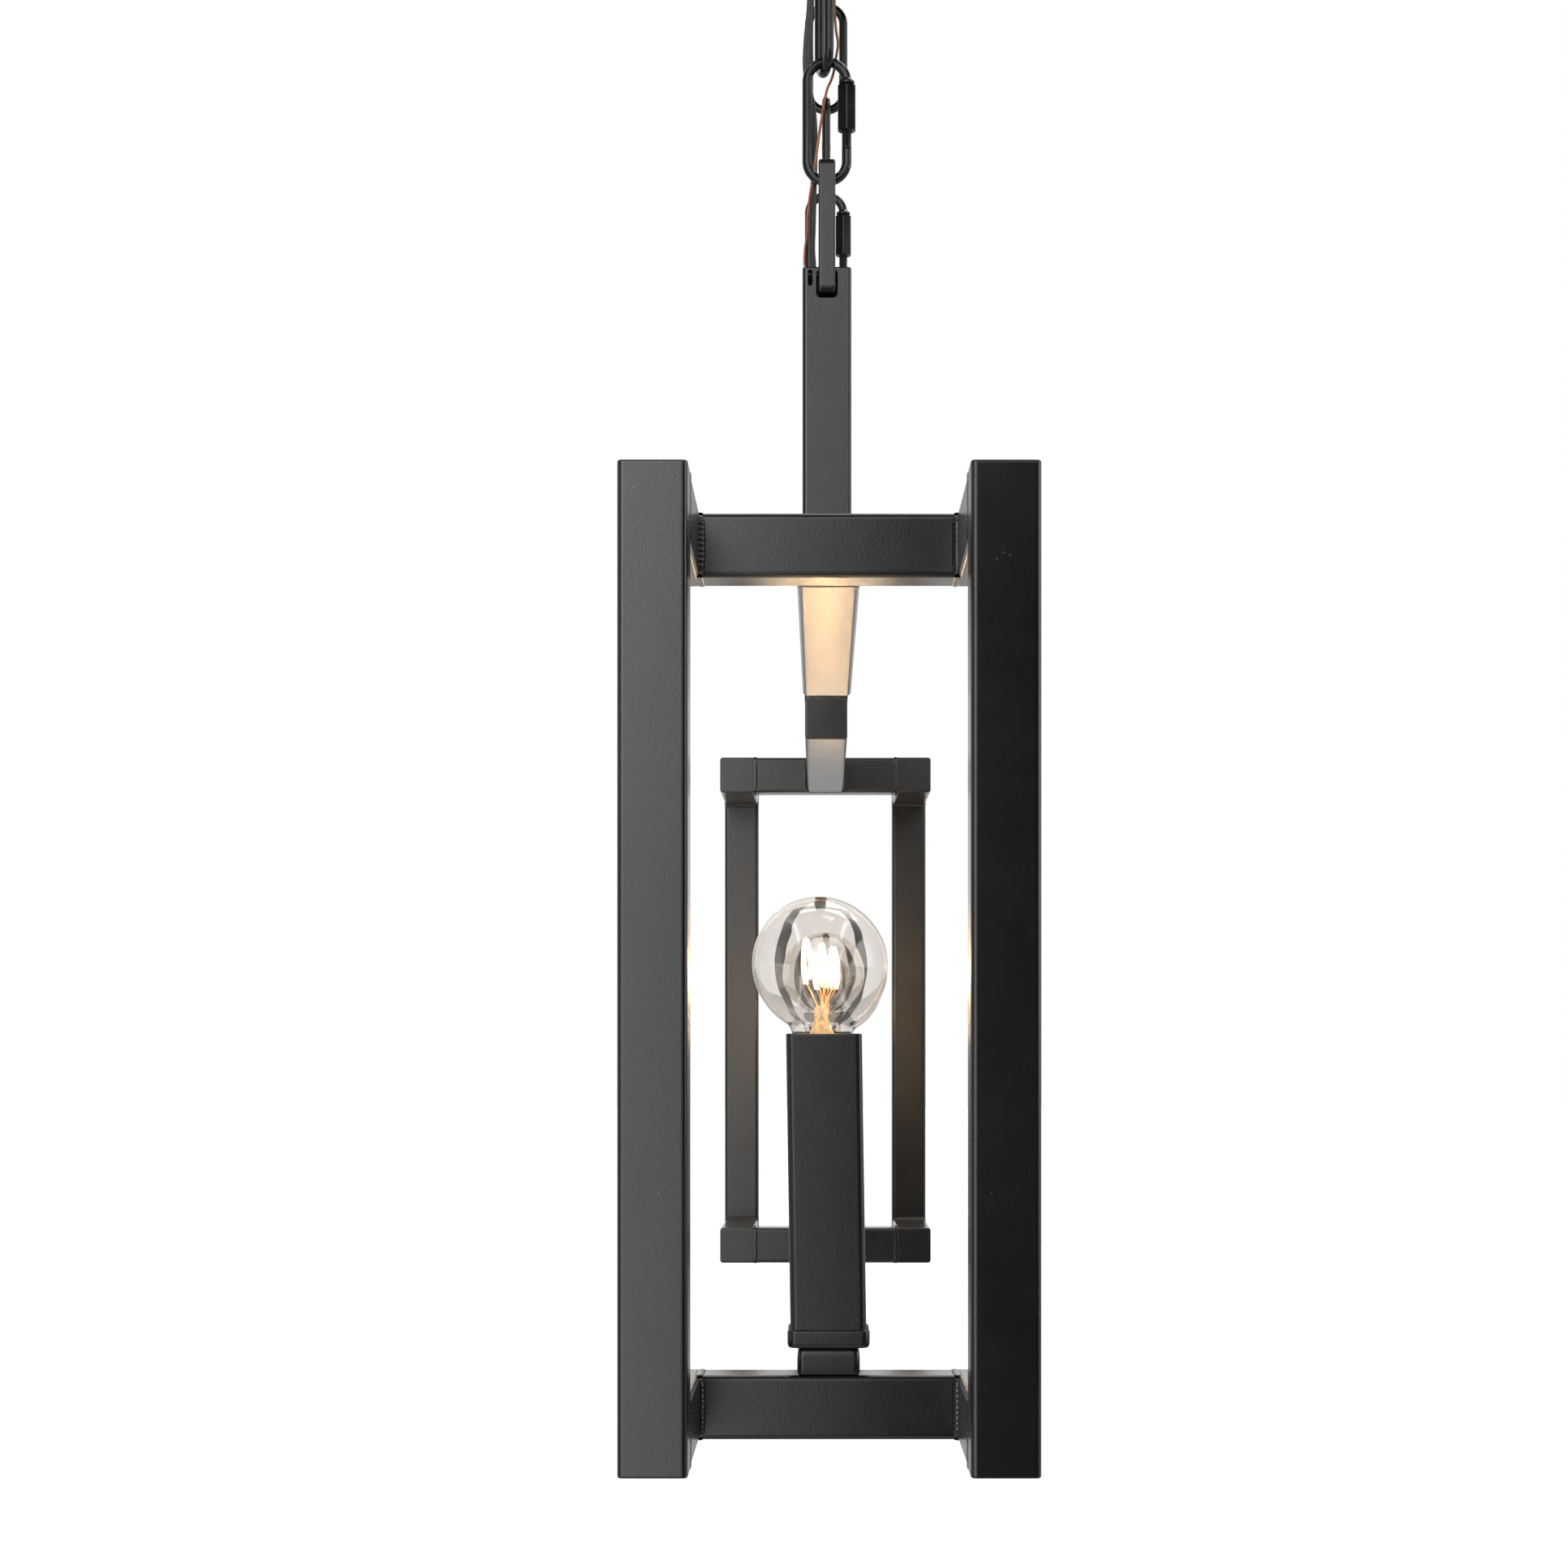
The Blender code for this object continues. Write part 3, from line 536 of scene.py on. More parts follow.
def hungCord(name, node, strands, path, run, width, finish):
    splits = [(upper[2] + lower[2]) / 2 for upper, lower in zip(bends, bends[1:])]
    cuts = [0, *(int(np.argmax(path[:, 2] < height)) for height in splits), len(path) - 1]
    for k, (upper, lower, pivot) in enumerate(bends):
        span = slice(cuts[k], cuts[k + 1] + 1)
        parts = [shell(grid[span], lids=(k == 0, k == len(bends) - 1)) for grid in strands]
        lays = []
        for grid, (points, quads, triangles) in zip(strands, parts):
            lay = np.zeros((len(points), 3))
            around = grid.shape[1]
            rows = cuts[k + 1] + 1 - cuts[k]
            lay[:rows * around, 0] = np.repeat(run[span], around)
            lay[:rows * around, 1] = np.tile(np.arange(around) / around * width * 3, rows)
            lays.append(lay)
        made = piece(f"{name}{k + 1}", parts, finish, stands=(node,), lay=np.vstack(lays))
        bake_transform(made)
    print(name, "length", round(float(run[-1]), 4))


# Two round conductors side by side with a web between: y = sqrt(r^2 - (|x| - r)^2), never under the web.
# Fine ribs run along one conductor. The section turns slowly on its way down.
def flatCord():
    path, run = smoothRoute(supplyCord["route"], supplyCord["step"])
    around = np.arange(supplyCord["around"]) / supplyCord["around"] * 2 * np.pi
    half = supplyCord["width"] / 2
    x = half * np.cos(around)
    bulge = np.sqrt(np.clip((half / 2) ** 2 - (np.abs(x) - half / 2) ** 2, 0, None))
    web = supplyCord["web"] * np.abs(np.sin(around)) ** 0.3
    ribs = supplyCord["ribDepth"] * np.cos(x / supplyCord["ribPitch"] * 2 * np.pi) * (x > 0)
    y = np.sign(np.sin(around)) * (np.maximum(bulge, web) + ribs * np.abs(np.sin(around)))
    turn = np.radians(np.interp(run, [0, run[-1]], supplyCord["turn"]))[:, None]
    profile = np.stack([x * np.cos(turn) - y * np.sin(turn), x * np.sin(turn) + y * np.cos(turn)], -1)
    grid = carried(path, profile, (0, 1, 0))
    hungCord("supplyCord", "supply_cord", [grid], path, run, supplyCord["width"], "cordPlastic")


# Strands wind round the route: each follows route + R (a cos f + b sin f), with f one turn for each pitch.
def twistedWire():
    path, run = smoothRoute(groundWire["route"], groundWire["step"])
    a, b = sideVectors(path, np.array((0.0, 1.0, 0.0)))
    strands = []
    for k in range(groundWire["strands"]):
        turn = 2 * np.pi * (run / groundWire["pitch"] + k / groundWire["strands"])[:, None]
        winding = path + groundWire["winding"] * (a * np.cos(turn) + b * np.sin(turn))
        strands.append(carried(winding, circle(groundWire["strand"], 6), (0, 1, 0)))
    hungCord("groundWire", "ground_wire", strands, path, run, groundWire["width"], "bareCopper")


flatCord()
twistedWire()
print("cords made")


# Square tube: the frame's posts, bars, crossbars and spines
tube = {"corner": 0.0021, "endRound": 0.0008, "lidLand": 0.0006, "sideLand": 0.0005}


def camel(node):
    first, *rest = node.split("_")
    return first + "".join(word.capitalize() for word in rest)


# Insets and depths of a quarter round, from a flat lid out to the side.
def edgeRound(radius, steps=4):
    turn = np.linspace(0, np.pi / 2, steps + 1)
    inset = np.concatenate([[radius + tube["lidLand"]], radius * (1 - np.sin(turn)), [0]])
    depth = np.concatenate([[0], radius * (1 - np.cos(turn)), [radius + tube["sideLand"]]])
    return inset, depth


# Outlines of a bar with both ends rounded over, from low to high along its axis.
def barGrid(low, high, corner, endRound, shrink=0.0):
    size = high - low
    axis = int(np.argmax(size))
    u, v = [(1, 2), (2, 0), (0, 1)][axis]
    inset, depth = edgeRound(endRound)
    insets = np.concatenate([inset, inset[::-1]]) + shrink
    levels = np.concatenate([shrink + depth, size[axis] - shrink - depth[::-1]])
    outlines = [
        roundedBox(size[u] / 2 - s, size[v] / 2 - s, max(corner - s, 0.0004)) for s in insets
    ]
    origin = (low + high) / 2
    origin[axis] = low[axis]
    return stacked(outlines, levels, origin, "XYZ"[axis])


# Rounded square outlines along the node's longest side.
def frameTube(node):
    low, high = box(node)
    grid = barGrid(low, high, tube["corner"], tube["endRound"])
    piece(camel(node), [shell(grid)], "powderCoat", "frame", (node,))


tubeNodes = [n for n in frame["nodes"] if n.endswith(("_post", "_side_bar", "_crossbar", "_spine"))]
for node in tubeNodes:
    frameTube(node)
print("frame tubes:", len(tubeNodes))


# Welds
weld = {
    "pitch": 0.0021, "step": 0.0003, "around": 14, "inset": 0.001,
    "ripple": 0.13, "unevenness": 0.07, "unevenPitch": 0.013,
    # each kind of bead: width and height
    "crossbarCorner": (0.0042, 0.0019), "postCorner": (0.0040, 0.0017), "spineCorner": (0.0036, 0.0015),
    "inside": (0.0030, 0.0002), "cap": (0.0028, 0.00035), "ground": (0.0026, 0.00030),
}


# An oval carried down a seam. Its ends draw in as (1 - |2s - 1|^8)^(1/2), and each pitch of the seam has
# one ripple.
def bead(kind, start, end, outward, seed):
    start, end = np.array(start, float), np.array(end, float)
    width, height = weld[kind]
    length = np.linalg.norm(end - start)
    s = np.linspace(0, 1, max(int(length / weld["step"]), 12))
    ends = np.sqrt(np.clip(1 - np.abs(2 * s - 1) ** 8, 0.01, 1))
    uneven = weld["unevenness"] * wander(s * length, weld["unevenPitch"], seed)
    ripple = 1 + weld["ripple"] * np.abs(np.sin(np.pi * s * length / weld["pitch"])) + uneven
    profile = circle(1.0, weld["around"]) * [width / 2, height] * (ends * ripple)[:, None, None]
    path = start + (end - start) * s[:, None]
    return shell(carried(path, profile, unit(np.array(outward, float))))


def crossbarWelds(end, way, level):
    low, high = box(f"{end}_{level}_crossbar")
    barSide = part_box(f"{end}_right_{level}_side_bar")[0].x
    outer, inner = (low[1], high[1]) if way < 0 else (high[1], low[1])
    foot, top = low[2] + weld["inset"], high[2] - weld["inset"]
    beads = []
    for hand in (-1, 1):
        x = hand * barSide
        seed = hand + 3 * way + len(level)
        beads.append(bead("crossbarCorner", (x, outer, foot), (x, outer, top), (-hand, way, 0), seed))
        beads.append(bead("inside", (x, inner, foot), (x, inner, top), (0, -way, 0), seed + 1))
        for z, up in ((low[2], -1), (high[2], 1)):
            beads.append(bead("cap", (x, outer, z), (x, inner, z), (0, 0, up), seed + up))
    spine = "bottom_spine" if level == "bottom" else f"{end}_top_spine"
    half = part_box(spine)[1].x
    for hand in (-1, 1):
        x = hand * half
        beads.append(bead("spineCorner", (x, inner, foot), (x, inner, top), (hand, -way, 0), hand + 7))
    for z, up in ((low[2], -1), (high[2], 1)):
        beads.append(bead("cap", (-half, inner, z), (half, inner, z), (0, 0, up), up + 11))
    return beads


def postWelds(end, way, side, hand):
    beads = []
    for level, up in (("bottom", 1), ("top", -1)):
        low, high = box(f"{end}_{side}_{level}_side_bar")
        y = low[1] if way < 0 else high[1]
        corner, flush = (high[2], low[2]) if up > 0 else (low[2], high[2])
        left, right = low[0] + weld["inset"], high[0] - weld["inset"]
        beads.append(bead("postCorner", (left, y, corner), (right, y, corner), (0, -way, up), way + up))
        beads.append(bead("ground", (low[0], y, flush), (high[0], y, flush), (0, 0, -up), way - up))
        for x, out in ((low[0], -1), (high[0], 1)):
            beads.append(bead("ground", (x, y, low[2]), (x, y, high[2]), (out, 0, 0), out + hand))
    return beads


def stemWelds(end, way):
    low, high = box(f"{end}_stem")
    z = low[2]
    outboard, inboard = (low[1], high[1]) if way < 0 else (high[1], low[1])
    left, right = low[0] + weld["inset"], high[0] - weld["inset"]
    beads = [bead("postCorner", (left, outboard, z), (right, outboard, z), (0, way, 1), way + 5)]
    beads.append(bead("ground", (low[0], inboard, z), (high[0], inboard, z), (0, -way, 0), way + 6))
    for x, out in ((low[0], -1), (high[0], 1)):
        beads.append(bead("ground", (x, low[1], z), (x, high[1], z), (out, 0, 0), out + 8))
    return beads


for end, way in (("near", -1), ("far", 1)):
    beads = crossbarWelds(end, way, "bottom") + crossbarWelds(end, way, "top") + stemWelds(end, way)
    for side, hand in (("left", -1), ("right", 1)):
        beads += postWelds(end, way, side, hand)
    piece(end + "Welds", beads, "powderCoat", "frame", crease=60)
print("welds made")


# Stems: tube with windows for the hanging loop, a slot and a hole for the cord
stemSettings = {
    "wall": 0.0012, "edge": 0.00025, "cutDepth": 0.004,
    # openings: half width, half height, corner radius, place across, height
    "window": (0.0055, 0.0072, 0.0022, 0.0, 0.5423),  # outboard
    "barSlot": (0.0046, 0.0021, 0.0004, 0.0, 0.53885),  # inboard, close round the loop's bar
    "cordSlot": (0.0012, 0.0042, 0.001176, -0.0085, 0.5453),  # outboard
    "entry": (-0.0078, 0.0034),  # the hole in the top: place across and radius
}


# Cuts closed shapes out of a piece and keeps the result as its mesh.
def carve(made, cutters):
    tools = []
    for cutter in cutters:
        tool = placed("cutter", meshOf("cutter", *cutter))
        tools.append(tool)
        cut = made.modifiers.new("cut", "BOOLEAN")
        cut.operation = "DIFFERENCE"
        cut.solver = "MANIFOLD"
        cut.object = tool
    edge = made.modifiers.new("edge", "BEVEL")
    edge.width = stemSettings["edge"]
    edge.segments = 3
    edge.limit_method = "ANGLE"
    edge.angle_limit = np.radians(50)
    flat = made.modifiers.new("flat", "WEIGHTED_NORMAL")
    flat.keep_sharp = True
    flat.weight = 100
    settled = made.evaluated_get(bpy.context.evaluated_depsgraph_get())
    mesh = bpy.data.meshes.new_from_object(settled)
    made.modifiers.clear()
    made.data = mesh
    for tool in tools:
        bpy.data.objects.remove(tool)


# Two tubes, one inside the other, with their openings cut through the wall. way is the outboard side.
def stem(node, way):
    low, high = box(node)
    middle = (low + high) / 2
    depth = stemSettings["cutDepth"]
    outer = barGrid(low, high, tube["corner"], tube["endRound"])
    inner = barGrid(low, high, tube["corner"], tube["endRound"], stemSettings["wall"])
    made = piece(camel(node), [shell(outer), shell(inner[:, ::-1])], "powderCoat", "frame", (node,))

    def opening(name, side, steps, near):
        halfX, halfZ, corner, x, height = stemSettings[name]
        face = middle[1] + side * (high[1] - low[1]) / 2
        outline = roundedBox(halfZ, halfX, corner, steps, near)
        return shell(stacked([outline, outline], [-depth, depth], (x, face, frameLow + height), "Y"))

    x, radius = stemSettings["entry"]
    hole = stacked([circle(radius, 32)] * 2, [-0.006, 0.002], (x, middle[1], high[2]), "Z")
    carve(made, [
        opening("window", way, 6, 0.0005), opening("barSlot", -way, 3, 0.0002),
        opening("cordSlot", way, 6, 0.00001), shell(hole),
    ])


stem("near_stem", -1)
stem("far_stem", 1)
print("stems made")


# Hanging loops: flat bar bent to a rectangle in the lengthwise plane
loopSettings = {"thick": 0.0035, "corner": 0.0016, "edge": 0.0011, "coat": 0.0003}


# A flat bar's profile is carried once round a rectangle with round corners.
def hangingLoop(node):
    low, high = box(node)
    middle, half = (low + high) / 2, (high - low) / 2
    thick = loopSettings["thick"]
    around = roundedBox(half[1] - thick / 2, half[2] - thick / 2, loopSettings["corner"], 10)
    path = np.column_stack([np.full(len(around), 0.0), around]) + middle
    profile = roundedBox(thick / 2, half[0] + loopSettings["coat"], loopSettings["edge"], 5, 0.0003)
    grid = carried(path, profile, (1, 0, 0), loop=True)
    piece(camel(node), [shell(grid, loop=True)], "powderCoat", "frame", (node,))


hangingLoop("near_hanging_loop")
hangingLoop("far_hanging_loop")


# Chain links, quick links and their nuts
link = {
    "around": 22, "weldSwell": 0.055, "weldHalf": 0.002, "unevenness": 0.004,
    "nearTurn": 14, "nearShift": -0.0014,  # how the near middle link hangs: degrees about Z, and across
}
quick = {
    # heights above the middle of the wire at the link's foot
    "gate": (0.0372, 0.0462), "thread": (0.0170, 0.0372),
    "pitch": 0.0008, "depth": 0.00028, "crest": 0.00004, "core": 0.86, "nutBore": 0.0030,
    # the fixed collar above the nut: (radius, height)
    "collar": [(0.0024, 0.0497), (0.0034, 0.0498), (0.0040, 0.0502), (0.00415, 0.0508), (0.0040, 0.0514),
               (0.0034, 0.0519), (0.0029, 0.0523), (0.0024, 0.0530)],
}
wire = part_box("near_middle_link")[1].x * 2


# A stadium, as (across, up): legs |x| = bend joined by half circles, anticlockwise from the right leg's foot.
def stadium(bend, straight, steps=30, legSteps=16):
    turn = np.linspace(0, np.pi, steps, endpoint=False)
    rise = np.linspace(0, straight, legSteps, endpoint=False)
    right = [np.full(legSteps, bend), rise]
    top = [bend * np.cos(turn), straight + bend * np.sin(turn)]
    left = [np.full(legSteps, -bend), straight - rise]
    foot = [-bend * np.cos(turn), -bend * np.sin(turn)]
    return np.hstack([right, top, left, foot]).T


# A round wire carried round a stadium. Its radius swells as exp(-(d / 2 mm)^2) at the butt weld.
def chainLink(node, body, turn=0.0, shift=0.0):
    low, high = box(node)
    size, middle = high - low, (low + high) / 2
    lengthwise = size[1] > size[0]
    bend = (max(size[0], size[1]) - wire) / 2
    straight = size[2] - wire - 2 * bend
    flat = stadium(bend, straight)
    angle = np.radians(turn + (90 if lengthwise else 0))
    across = np.array([np.cos(angle), np.sin(angle), 0])
    path = flat[:, :1] * across + flat[:, 1:] * [0, 0, 1]
    path += [middle[0] + shift, middle[1], low[2] + wire / 2 + bend]
    run = np.arange(len(path)) * 0.0022  # the path's points are about this far apart
    joint = np.exp(-((flat[:, 1] - straight / 2) / link["weldHalf"]) ** 2) * (flat[:, 0] < -bend * 0.9)
    swell = 1 + link["weldSwell"] * joint + link["unevenness"] * wander(run, 0.02, middle[2] * 90)
    profile = circle(wire / 2, link["around"]) * swell[:, None, None]
    grid = carried(path, profile, np.cross(across, [0, 0, 1]), loop=True)
    piece(camel(node), [shell(grid, loop=True)], "blackEnamel", body, (node,))


# A U of round wire: a straight leg down, a half circle and a straight leg up.
def canopyLoop(node):
    low, high = box(node)
    middle = (low + high) / 2
    bend = (high[1] - low[1] - wire) / 2
    turn = np.linspace(np.pi, 2 * np.pi, 40)
    start = low[2] + wire / 2 + bend
    leg = np.linspace(high[2], start, 16)[:-1]
    down = np.column_stack([np.zeros(15), np.full(15, -bend), leg])
    arch = np.column_stack([np.zeros(40), bend * np.cos(turn), start + bend * np.sin(turn)])
    up = down[::-1] * [1, -1, 1]
    path = np.vstack([down, arch, up]) + [0, middle[1], 0]
    grid = carried(path, circle(wire / 2, link["around"]), (1, 0, 0))
    piece(camel(node), [shell(grid)], "blackEnamel", "ceiling", (node,))


# An open link: down the threaded leg, round the foot, up the left leg and round to the collar.
def quickLink(node, body):
    low, high = box(node)
    y, foot = (low[1] + high[1]) / 2, low[2] + wire / 2
    bend = -low[0] - wire / 2
    top = high[2] - wire / 2 - foot - bend
    turn = np.linspace(0, np.pi, 32)[1:-1]
    gateLow, gateHigh = quick["gate"]
    flat = np.vstack([
        np.column_stack([np.full(40, bend), np.linspace(gateLow, bend, 40)]),
        np.column_stack([bend * np.cos(turn), bend - bend * np.sin(turn)]),
        np.column_stack([np.full(24, -bend), np.linspace(bend, top, 24)]),
        np.column_stack([-bend * np.cos(turn), top + bend * np.sin(turn)]),
        np.column_stack([np.full(14, bend), np.linspace(top, gateHigh, 14)]),
    ])
    across, height = flat.T
    path = np.column_stack([across, np.full(len(flat), y), foot + height])
    threaded = (across > bend * 0.999) & (height > quick["thread"][0]) & (height <= gateLow)
    swell = np.where(threaded, quick["core"], 1.0)
    wireGrid = carried(path, circle(wire / 2, link["around"]) * swell[:, None, None], (0, 1, 0))
    collar = turned(quick["collar"], (bend, y, foot), 40)
    parts = [shell(wireGrid), shell(threadGrid(bend, y, foot)), shell(collar)]
    piece(camel(node), parts, "blackEnamel", body, (node,))


# A screw thread: radius = crest - depth * |2 frac(z / pitch - t / 2 pi) - 1|, run out at its foot.
def threadGrid(x, y, foot):
    low, high = quick["thread"]
    z = np.arange(low, high, quick["pitch"] / 8)[:, None]
    turn = np.arange(28) / 28 * 2 * np.pi
    saw = np.abs(2 * np.mod(z / quick["pitch"] - turn / (2 * np.pi), 1) - 1)
    fade = np.clip((z - low) / 0.0012, 0, 1)
    radius = wire / 2 + quick["crest"] - quick["depth"] * saw * fade
    return ringed(radius, z) + [x, y, foot]


nutShape = {
    "corner": 1.125, "endRadius": 0.90, "cone": 1.9,  # shares of the apothem, and the cone's slope
    "levels": [0, 0.00012, 0.0003, 0.0005, 0.0008, 0.0011, 0.0015, 0.0020],  # depths in from each end
}


# A hexagon: radius = apothem / cos(angle from the nearest flat's middle), its corners eased, and
# both ends turned off by a cone: radius <= end radius + cone * depth.
def hexNut(centre, apothem, bore, height):
    turn = np.arange(120) / 120 * 2 * np.pi
    fromFlat = np.mod(turn + np.pi / 6, np.pi / 3) - np.pi / 6
    hexagon = np.minimum(apothem / np.cos(fromFlat), apothem * nutShape["corner"])
    edge = np.array(nutShape["levels"])
    depth = np.concatenate([edge, edge[::-1]])
    level = np.concatenate([edge, height - edge[::-1]])
    outer = np.minimum(hexagon, (nutShape["endRadius"] * apothem + nutShape["cone"] * depth)[:, None])
    inner = np.full((2, len(turn)), bore)
    radius = np.vstack([outer, inner])
    level = np.concatenate([level, [height, 0]])[:, None]
    return ringed(radius, level) + np.array(centre)


def linkNut(node, body):
    low, high = box(node)
    middle = (low + high) / 2
    apothem = (high[0] - low[0]) / 2
    grid = hexNut((middle[0], middle[1], low[2]), apothem, quick["nutBore"], high[2] - low[2])
    piece(camel(node), [shell(grid, loop=True)], "blackEnamel", body, (node,), crease=26)


for end in ("near", "far"):
    canopyLoop(end + "_canopy_loop")
    chainLink(end + "_upper_link", "upper_links")
    quickLink(end + "_quick_link", end + "_chain")
    linkNut(end + "_link_nut", end + "_nut")
chainLink("near_middle_link", "near_chain", link["nearTurn"], link["nearShift"])
chainLink("far_middle_link", "far_chain")
print("chains made")


# Candles: cup, sleeve, socket and bulb
cup = {
    # (half width, corner radius, height) up the outside, then down the inside
    "shape": [
        (0.0117, 0.0018, 0.0253), (0.0120, 0.0020, 0.0256), (0.0122, 0.0021, 0.0262),
        (0.0122, 0.0021, 0.0318), (0.0121, 0.0021, 0.0332), (0.0119, 0.0020, 0.0344),
        (0.0115, 0.0019, 0.0353), (0.0110, 0.0018, 0.0358), (0.0143, 0.0025, 0.0358),
        (0.0149, 0.0026, 0.0359), (0.0154, 0.0027, 0.0362), (0.01575, 0.0028, 0.0367),
        (0.0159, 0.0028, 0.0373), (0.0160, 0.0028, 0.0380), (0.0160, 0.0028, 0.0418),
        (0.01595, 0.0028, 0.0423), (0.0158, 0.0027, 0.0426), (0.01555, 0.0026, 0.0428),
        (0.0153, 0.0025, 0.0427), (0.0151, 0.0024, 0.0424), (0.0151, 0.0024, 0.0378),
        (0.0149, 0.0023, 0.0374), (0.0052, 0.00519, 0.0374), (0.0052, 0.00519, 0.0253),
    ],
}
sleeve = {"wall": 0.0011, "corner": 0.0023, "rim": 0.0005, "eased": 0.0004}
socket = {
    # (radius, height) up the outside, then down the inside
    "profile": [
        (0.0025, 0.0253), (0.0047, 0.0253), (0.0047, 0.0700), (0.0047, 0.1095), (0.0051, 0.1103),
        (0.0080, 0.1124), (0.0083, 0.1130), (0.0083, 0.1300), (0.0083, 0.1498), (0.0082, 0.1501),
        (0.0080, 0.1502), (0.0069, 0.1502), (0.0067, 0.1501), (0.0066, 0.1498), (0.0066, 0.1290),
        (0.0025, 0.1150),
    ],
}
leans = {1: {"sleeve": -0.015, "bulb": -0.022}}  # for each candle: x for each metre of height
sleeveFoot = 0.0377
bulb = {
    "radius": 0.0267, "centre": 0.1848, "wall": 0.0011, "neck": (0.0117, 0.1572), "join": 0.0143,
    # (radius, height) of the glass between its foot and its neck
    "shoulder": [(0.0062, 0.1522), (0.0074, 0.1526), (0.0094, 0.1541), (0.0109, 0.1556)],
    # (across, height) along the filament, which hangs on the four leads
    "filament": [
        (-0.0058, 0.1775), (-0.0066, 0.1850), (-0.0054, 0.1948), (-0.0034, 0.1850), (-0.0020, 0.1800),
        (-0.0010, 0.1850), (0.0006, 0.1930), (0.0020, 0.1860), (0.0026, 0.1802), (0.0036, 0.1850),
        (0.0052, 0.1915), (0.0066, 0.1850), (0.0058, 0.1775),
    ],
    "filamentDepth": 0.0012, "coil": 0.00075, "coilPitch": 0.0005, "coilWire": 0.00022, "leadWire": 0.00030,
    "leads": [
        [(-0.0014, 0.1600), (-0.0015, 0.1690), (-0.0040, 0.1745), (-0.0058, 0.1778)],
        [(0.0014, 0.1600), (0.0015, 0.1690), (0.0040, 0.1745), (0.0058, 0.1778)],
        [(0.0000, 0.1670), (0.0002, 0.1730), (-0.0012, 0.1790), (-0.0020, 0.1803)],
        [(0.0006, 0.1670), (0.0008, 0.1730), (0.0018, 0.1790), (0.0026, 0.1805)],
    ],
    # (radius, height) of the glass mount, and the heights between which it is pressed flat along Y
    "mount": [
        (0.0052, 0.1532), (0.0050, 0.1560), (0.0046, 0.1585), (0.0038, 0.1606), (0.0030, 0.1625),
        (0.0026, 0.1640), (0.0028, 0.1650), (0.0029, 0.1662), (0.0028, 0.1674), (0.0023, 0.1683),
        (0.0014, 0.1687), (0.0006, 0.1688),
    ],
    "pressed": (0.1600, 0.1645), "pressedTo": 0.52,
    # the brass base: its mean radius at each height, its thread, and the contact under it
    "baseHeights": [0.1318, 0.1324, 0.1330, 0.1502, 0.1512, 0.1526],
    "baseRadii": [0.0046, 0.0053, 0.0056, 0.0056, 0.0058, 0.0059],
    "threadFrom": (0.1330, 0.1345), "threadTo": (0.1485, 0.1500),
    "pitch": 0.0021, "thread": 0.00025, "threadStep": 0.00022,
    "contact": [(0.0008, 0.1310), (0.0020, 0.1311), (0.0026, 0.1314), (0.0030, 0.1319)],
}


# A candle may lean: x moves by lean * (height - the sleeve's foot).
def leaned(grid, k, lean):
    tilted = np.array(grid)
    tilted[..., 0] += leans.get(k, {}).get(lean, 0) * (tilted[..., 2] - frameLow - sleeveFoot)
    return tilted


# Square outlines with round corners go up the outside and down the inside.
def candleCup(k, y):
    outlines = [roundedBox(half, half, radius) for half, radius, height in cup["shape"]]
    levels = [height for half, radius, height in cup["shape"]]
    grid = stacked(outlines, levels, (0, y, frameLow))
    piece(f"candleCup{k}", [shell(grid, loop=True)], "powderCoat", "frame", (f"candle_cup_{k}",))


# A square tube whose rim is rounded over by a half circle, from the outside to the inside.
def candleSleeve(k, y):
    low, high = box(f"candle_sleeve_{k}")
    half, rim = (high[0] - low[0]) / 2, sleeve["rim"]
    height = high[2] - low[2]
    turn = np.linspace(0, np.pi, 9)
    mid = sleeve["wall"] / 2
    over = [(half - mid + mid * np.cos(t), height - rim + rim * np.sin(t)) for t in turn]
    inner = half - sleeve["wall"]
    neck = height - rim - 0.0006  # just below the rim's curve
    sides = [(half, 0.0), (half, sleeve["eased"]), (half, neck), *over, (inner, neck), (inner, 0.0)]
    outlines = [roundedBox(size, size, sleeve["corner"] - (half - size)) for size, level in sides]
    grid = leaned(stacked(outlines, [level for size, level in sides], (0, y, low[2])), k, "sleeve")
    piece(f"candleSleeve{k}", [shell(grid, loop=True)], "powderCoat", "frame", (f"candle_sleeve_{k}",))


def lampSocket(k, y):
    grid = leaned(turned(socket["profile"], (0, y, frameLow), 44), k, "bulb")
    piece(f"lampSocket{k}", [shell(grid, loop=True)], "creamPlastic", "frame", (f"lamp_socket_{k}",))


# The glass runs up a neck, through a curve B = (1-t)^2 P0 + 2t(1-t) P1 + t^2 P2, into a sphere.
def glassProfile(inset):
    radius, centre = bulb["radius"] - inset, bulb["centre"]
    neck, foot = bulb["neck"]
    first = np.arcsin((bulb["join"] - inset) / radius)
    join = np.array([bulb["join"] - inset, centre - radius * np.cos(first)])
    middle = np.array([neck - inset, join[1] - (bulb["join"] - neck) * np.tan(first)])
    low = np.array([neck - inset, foot + inset])
    t = np.linspace(0, 1, 8)[:, None]
    flare = (1 - t) ** 2 * low + 2 * t * (1 - t) * middle + t**2 * join
    turn = np.linspace(first, np.pi - 0.02, 46)[1:]
    globe = np.column_stack([radius * np.sin(turn), centre - radius * np.cos(turn)])
    shoulder = np.array(bulb["shoulder"]) + [-inset, inset]
    return np.vstack([shoulder, flare, globe])


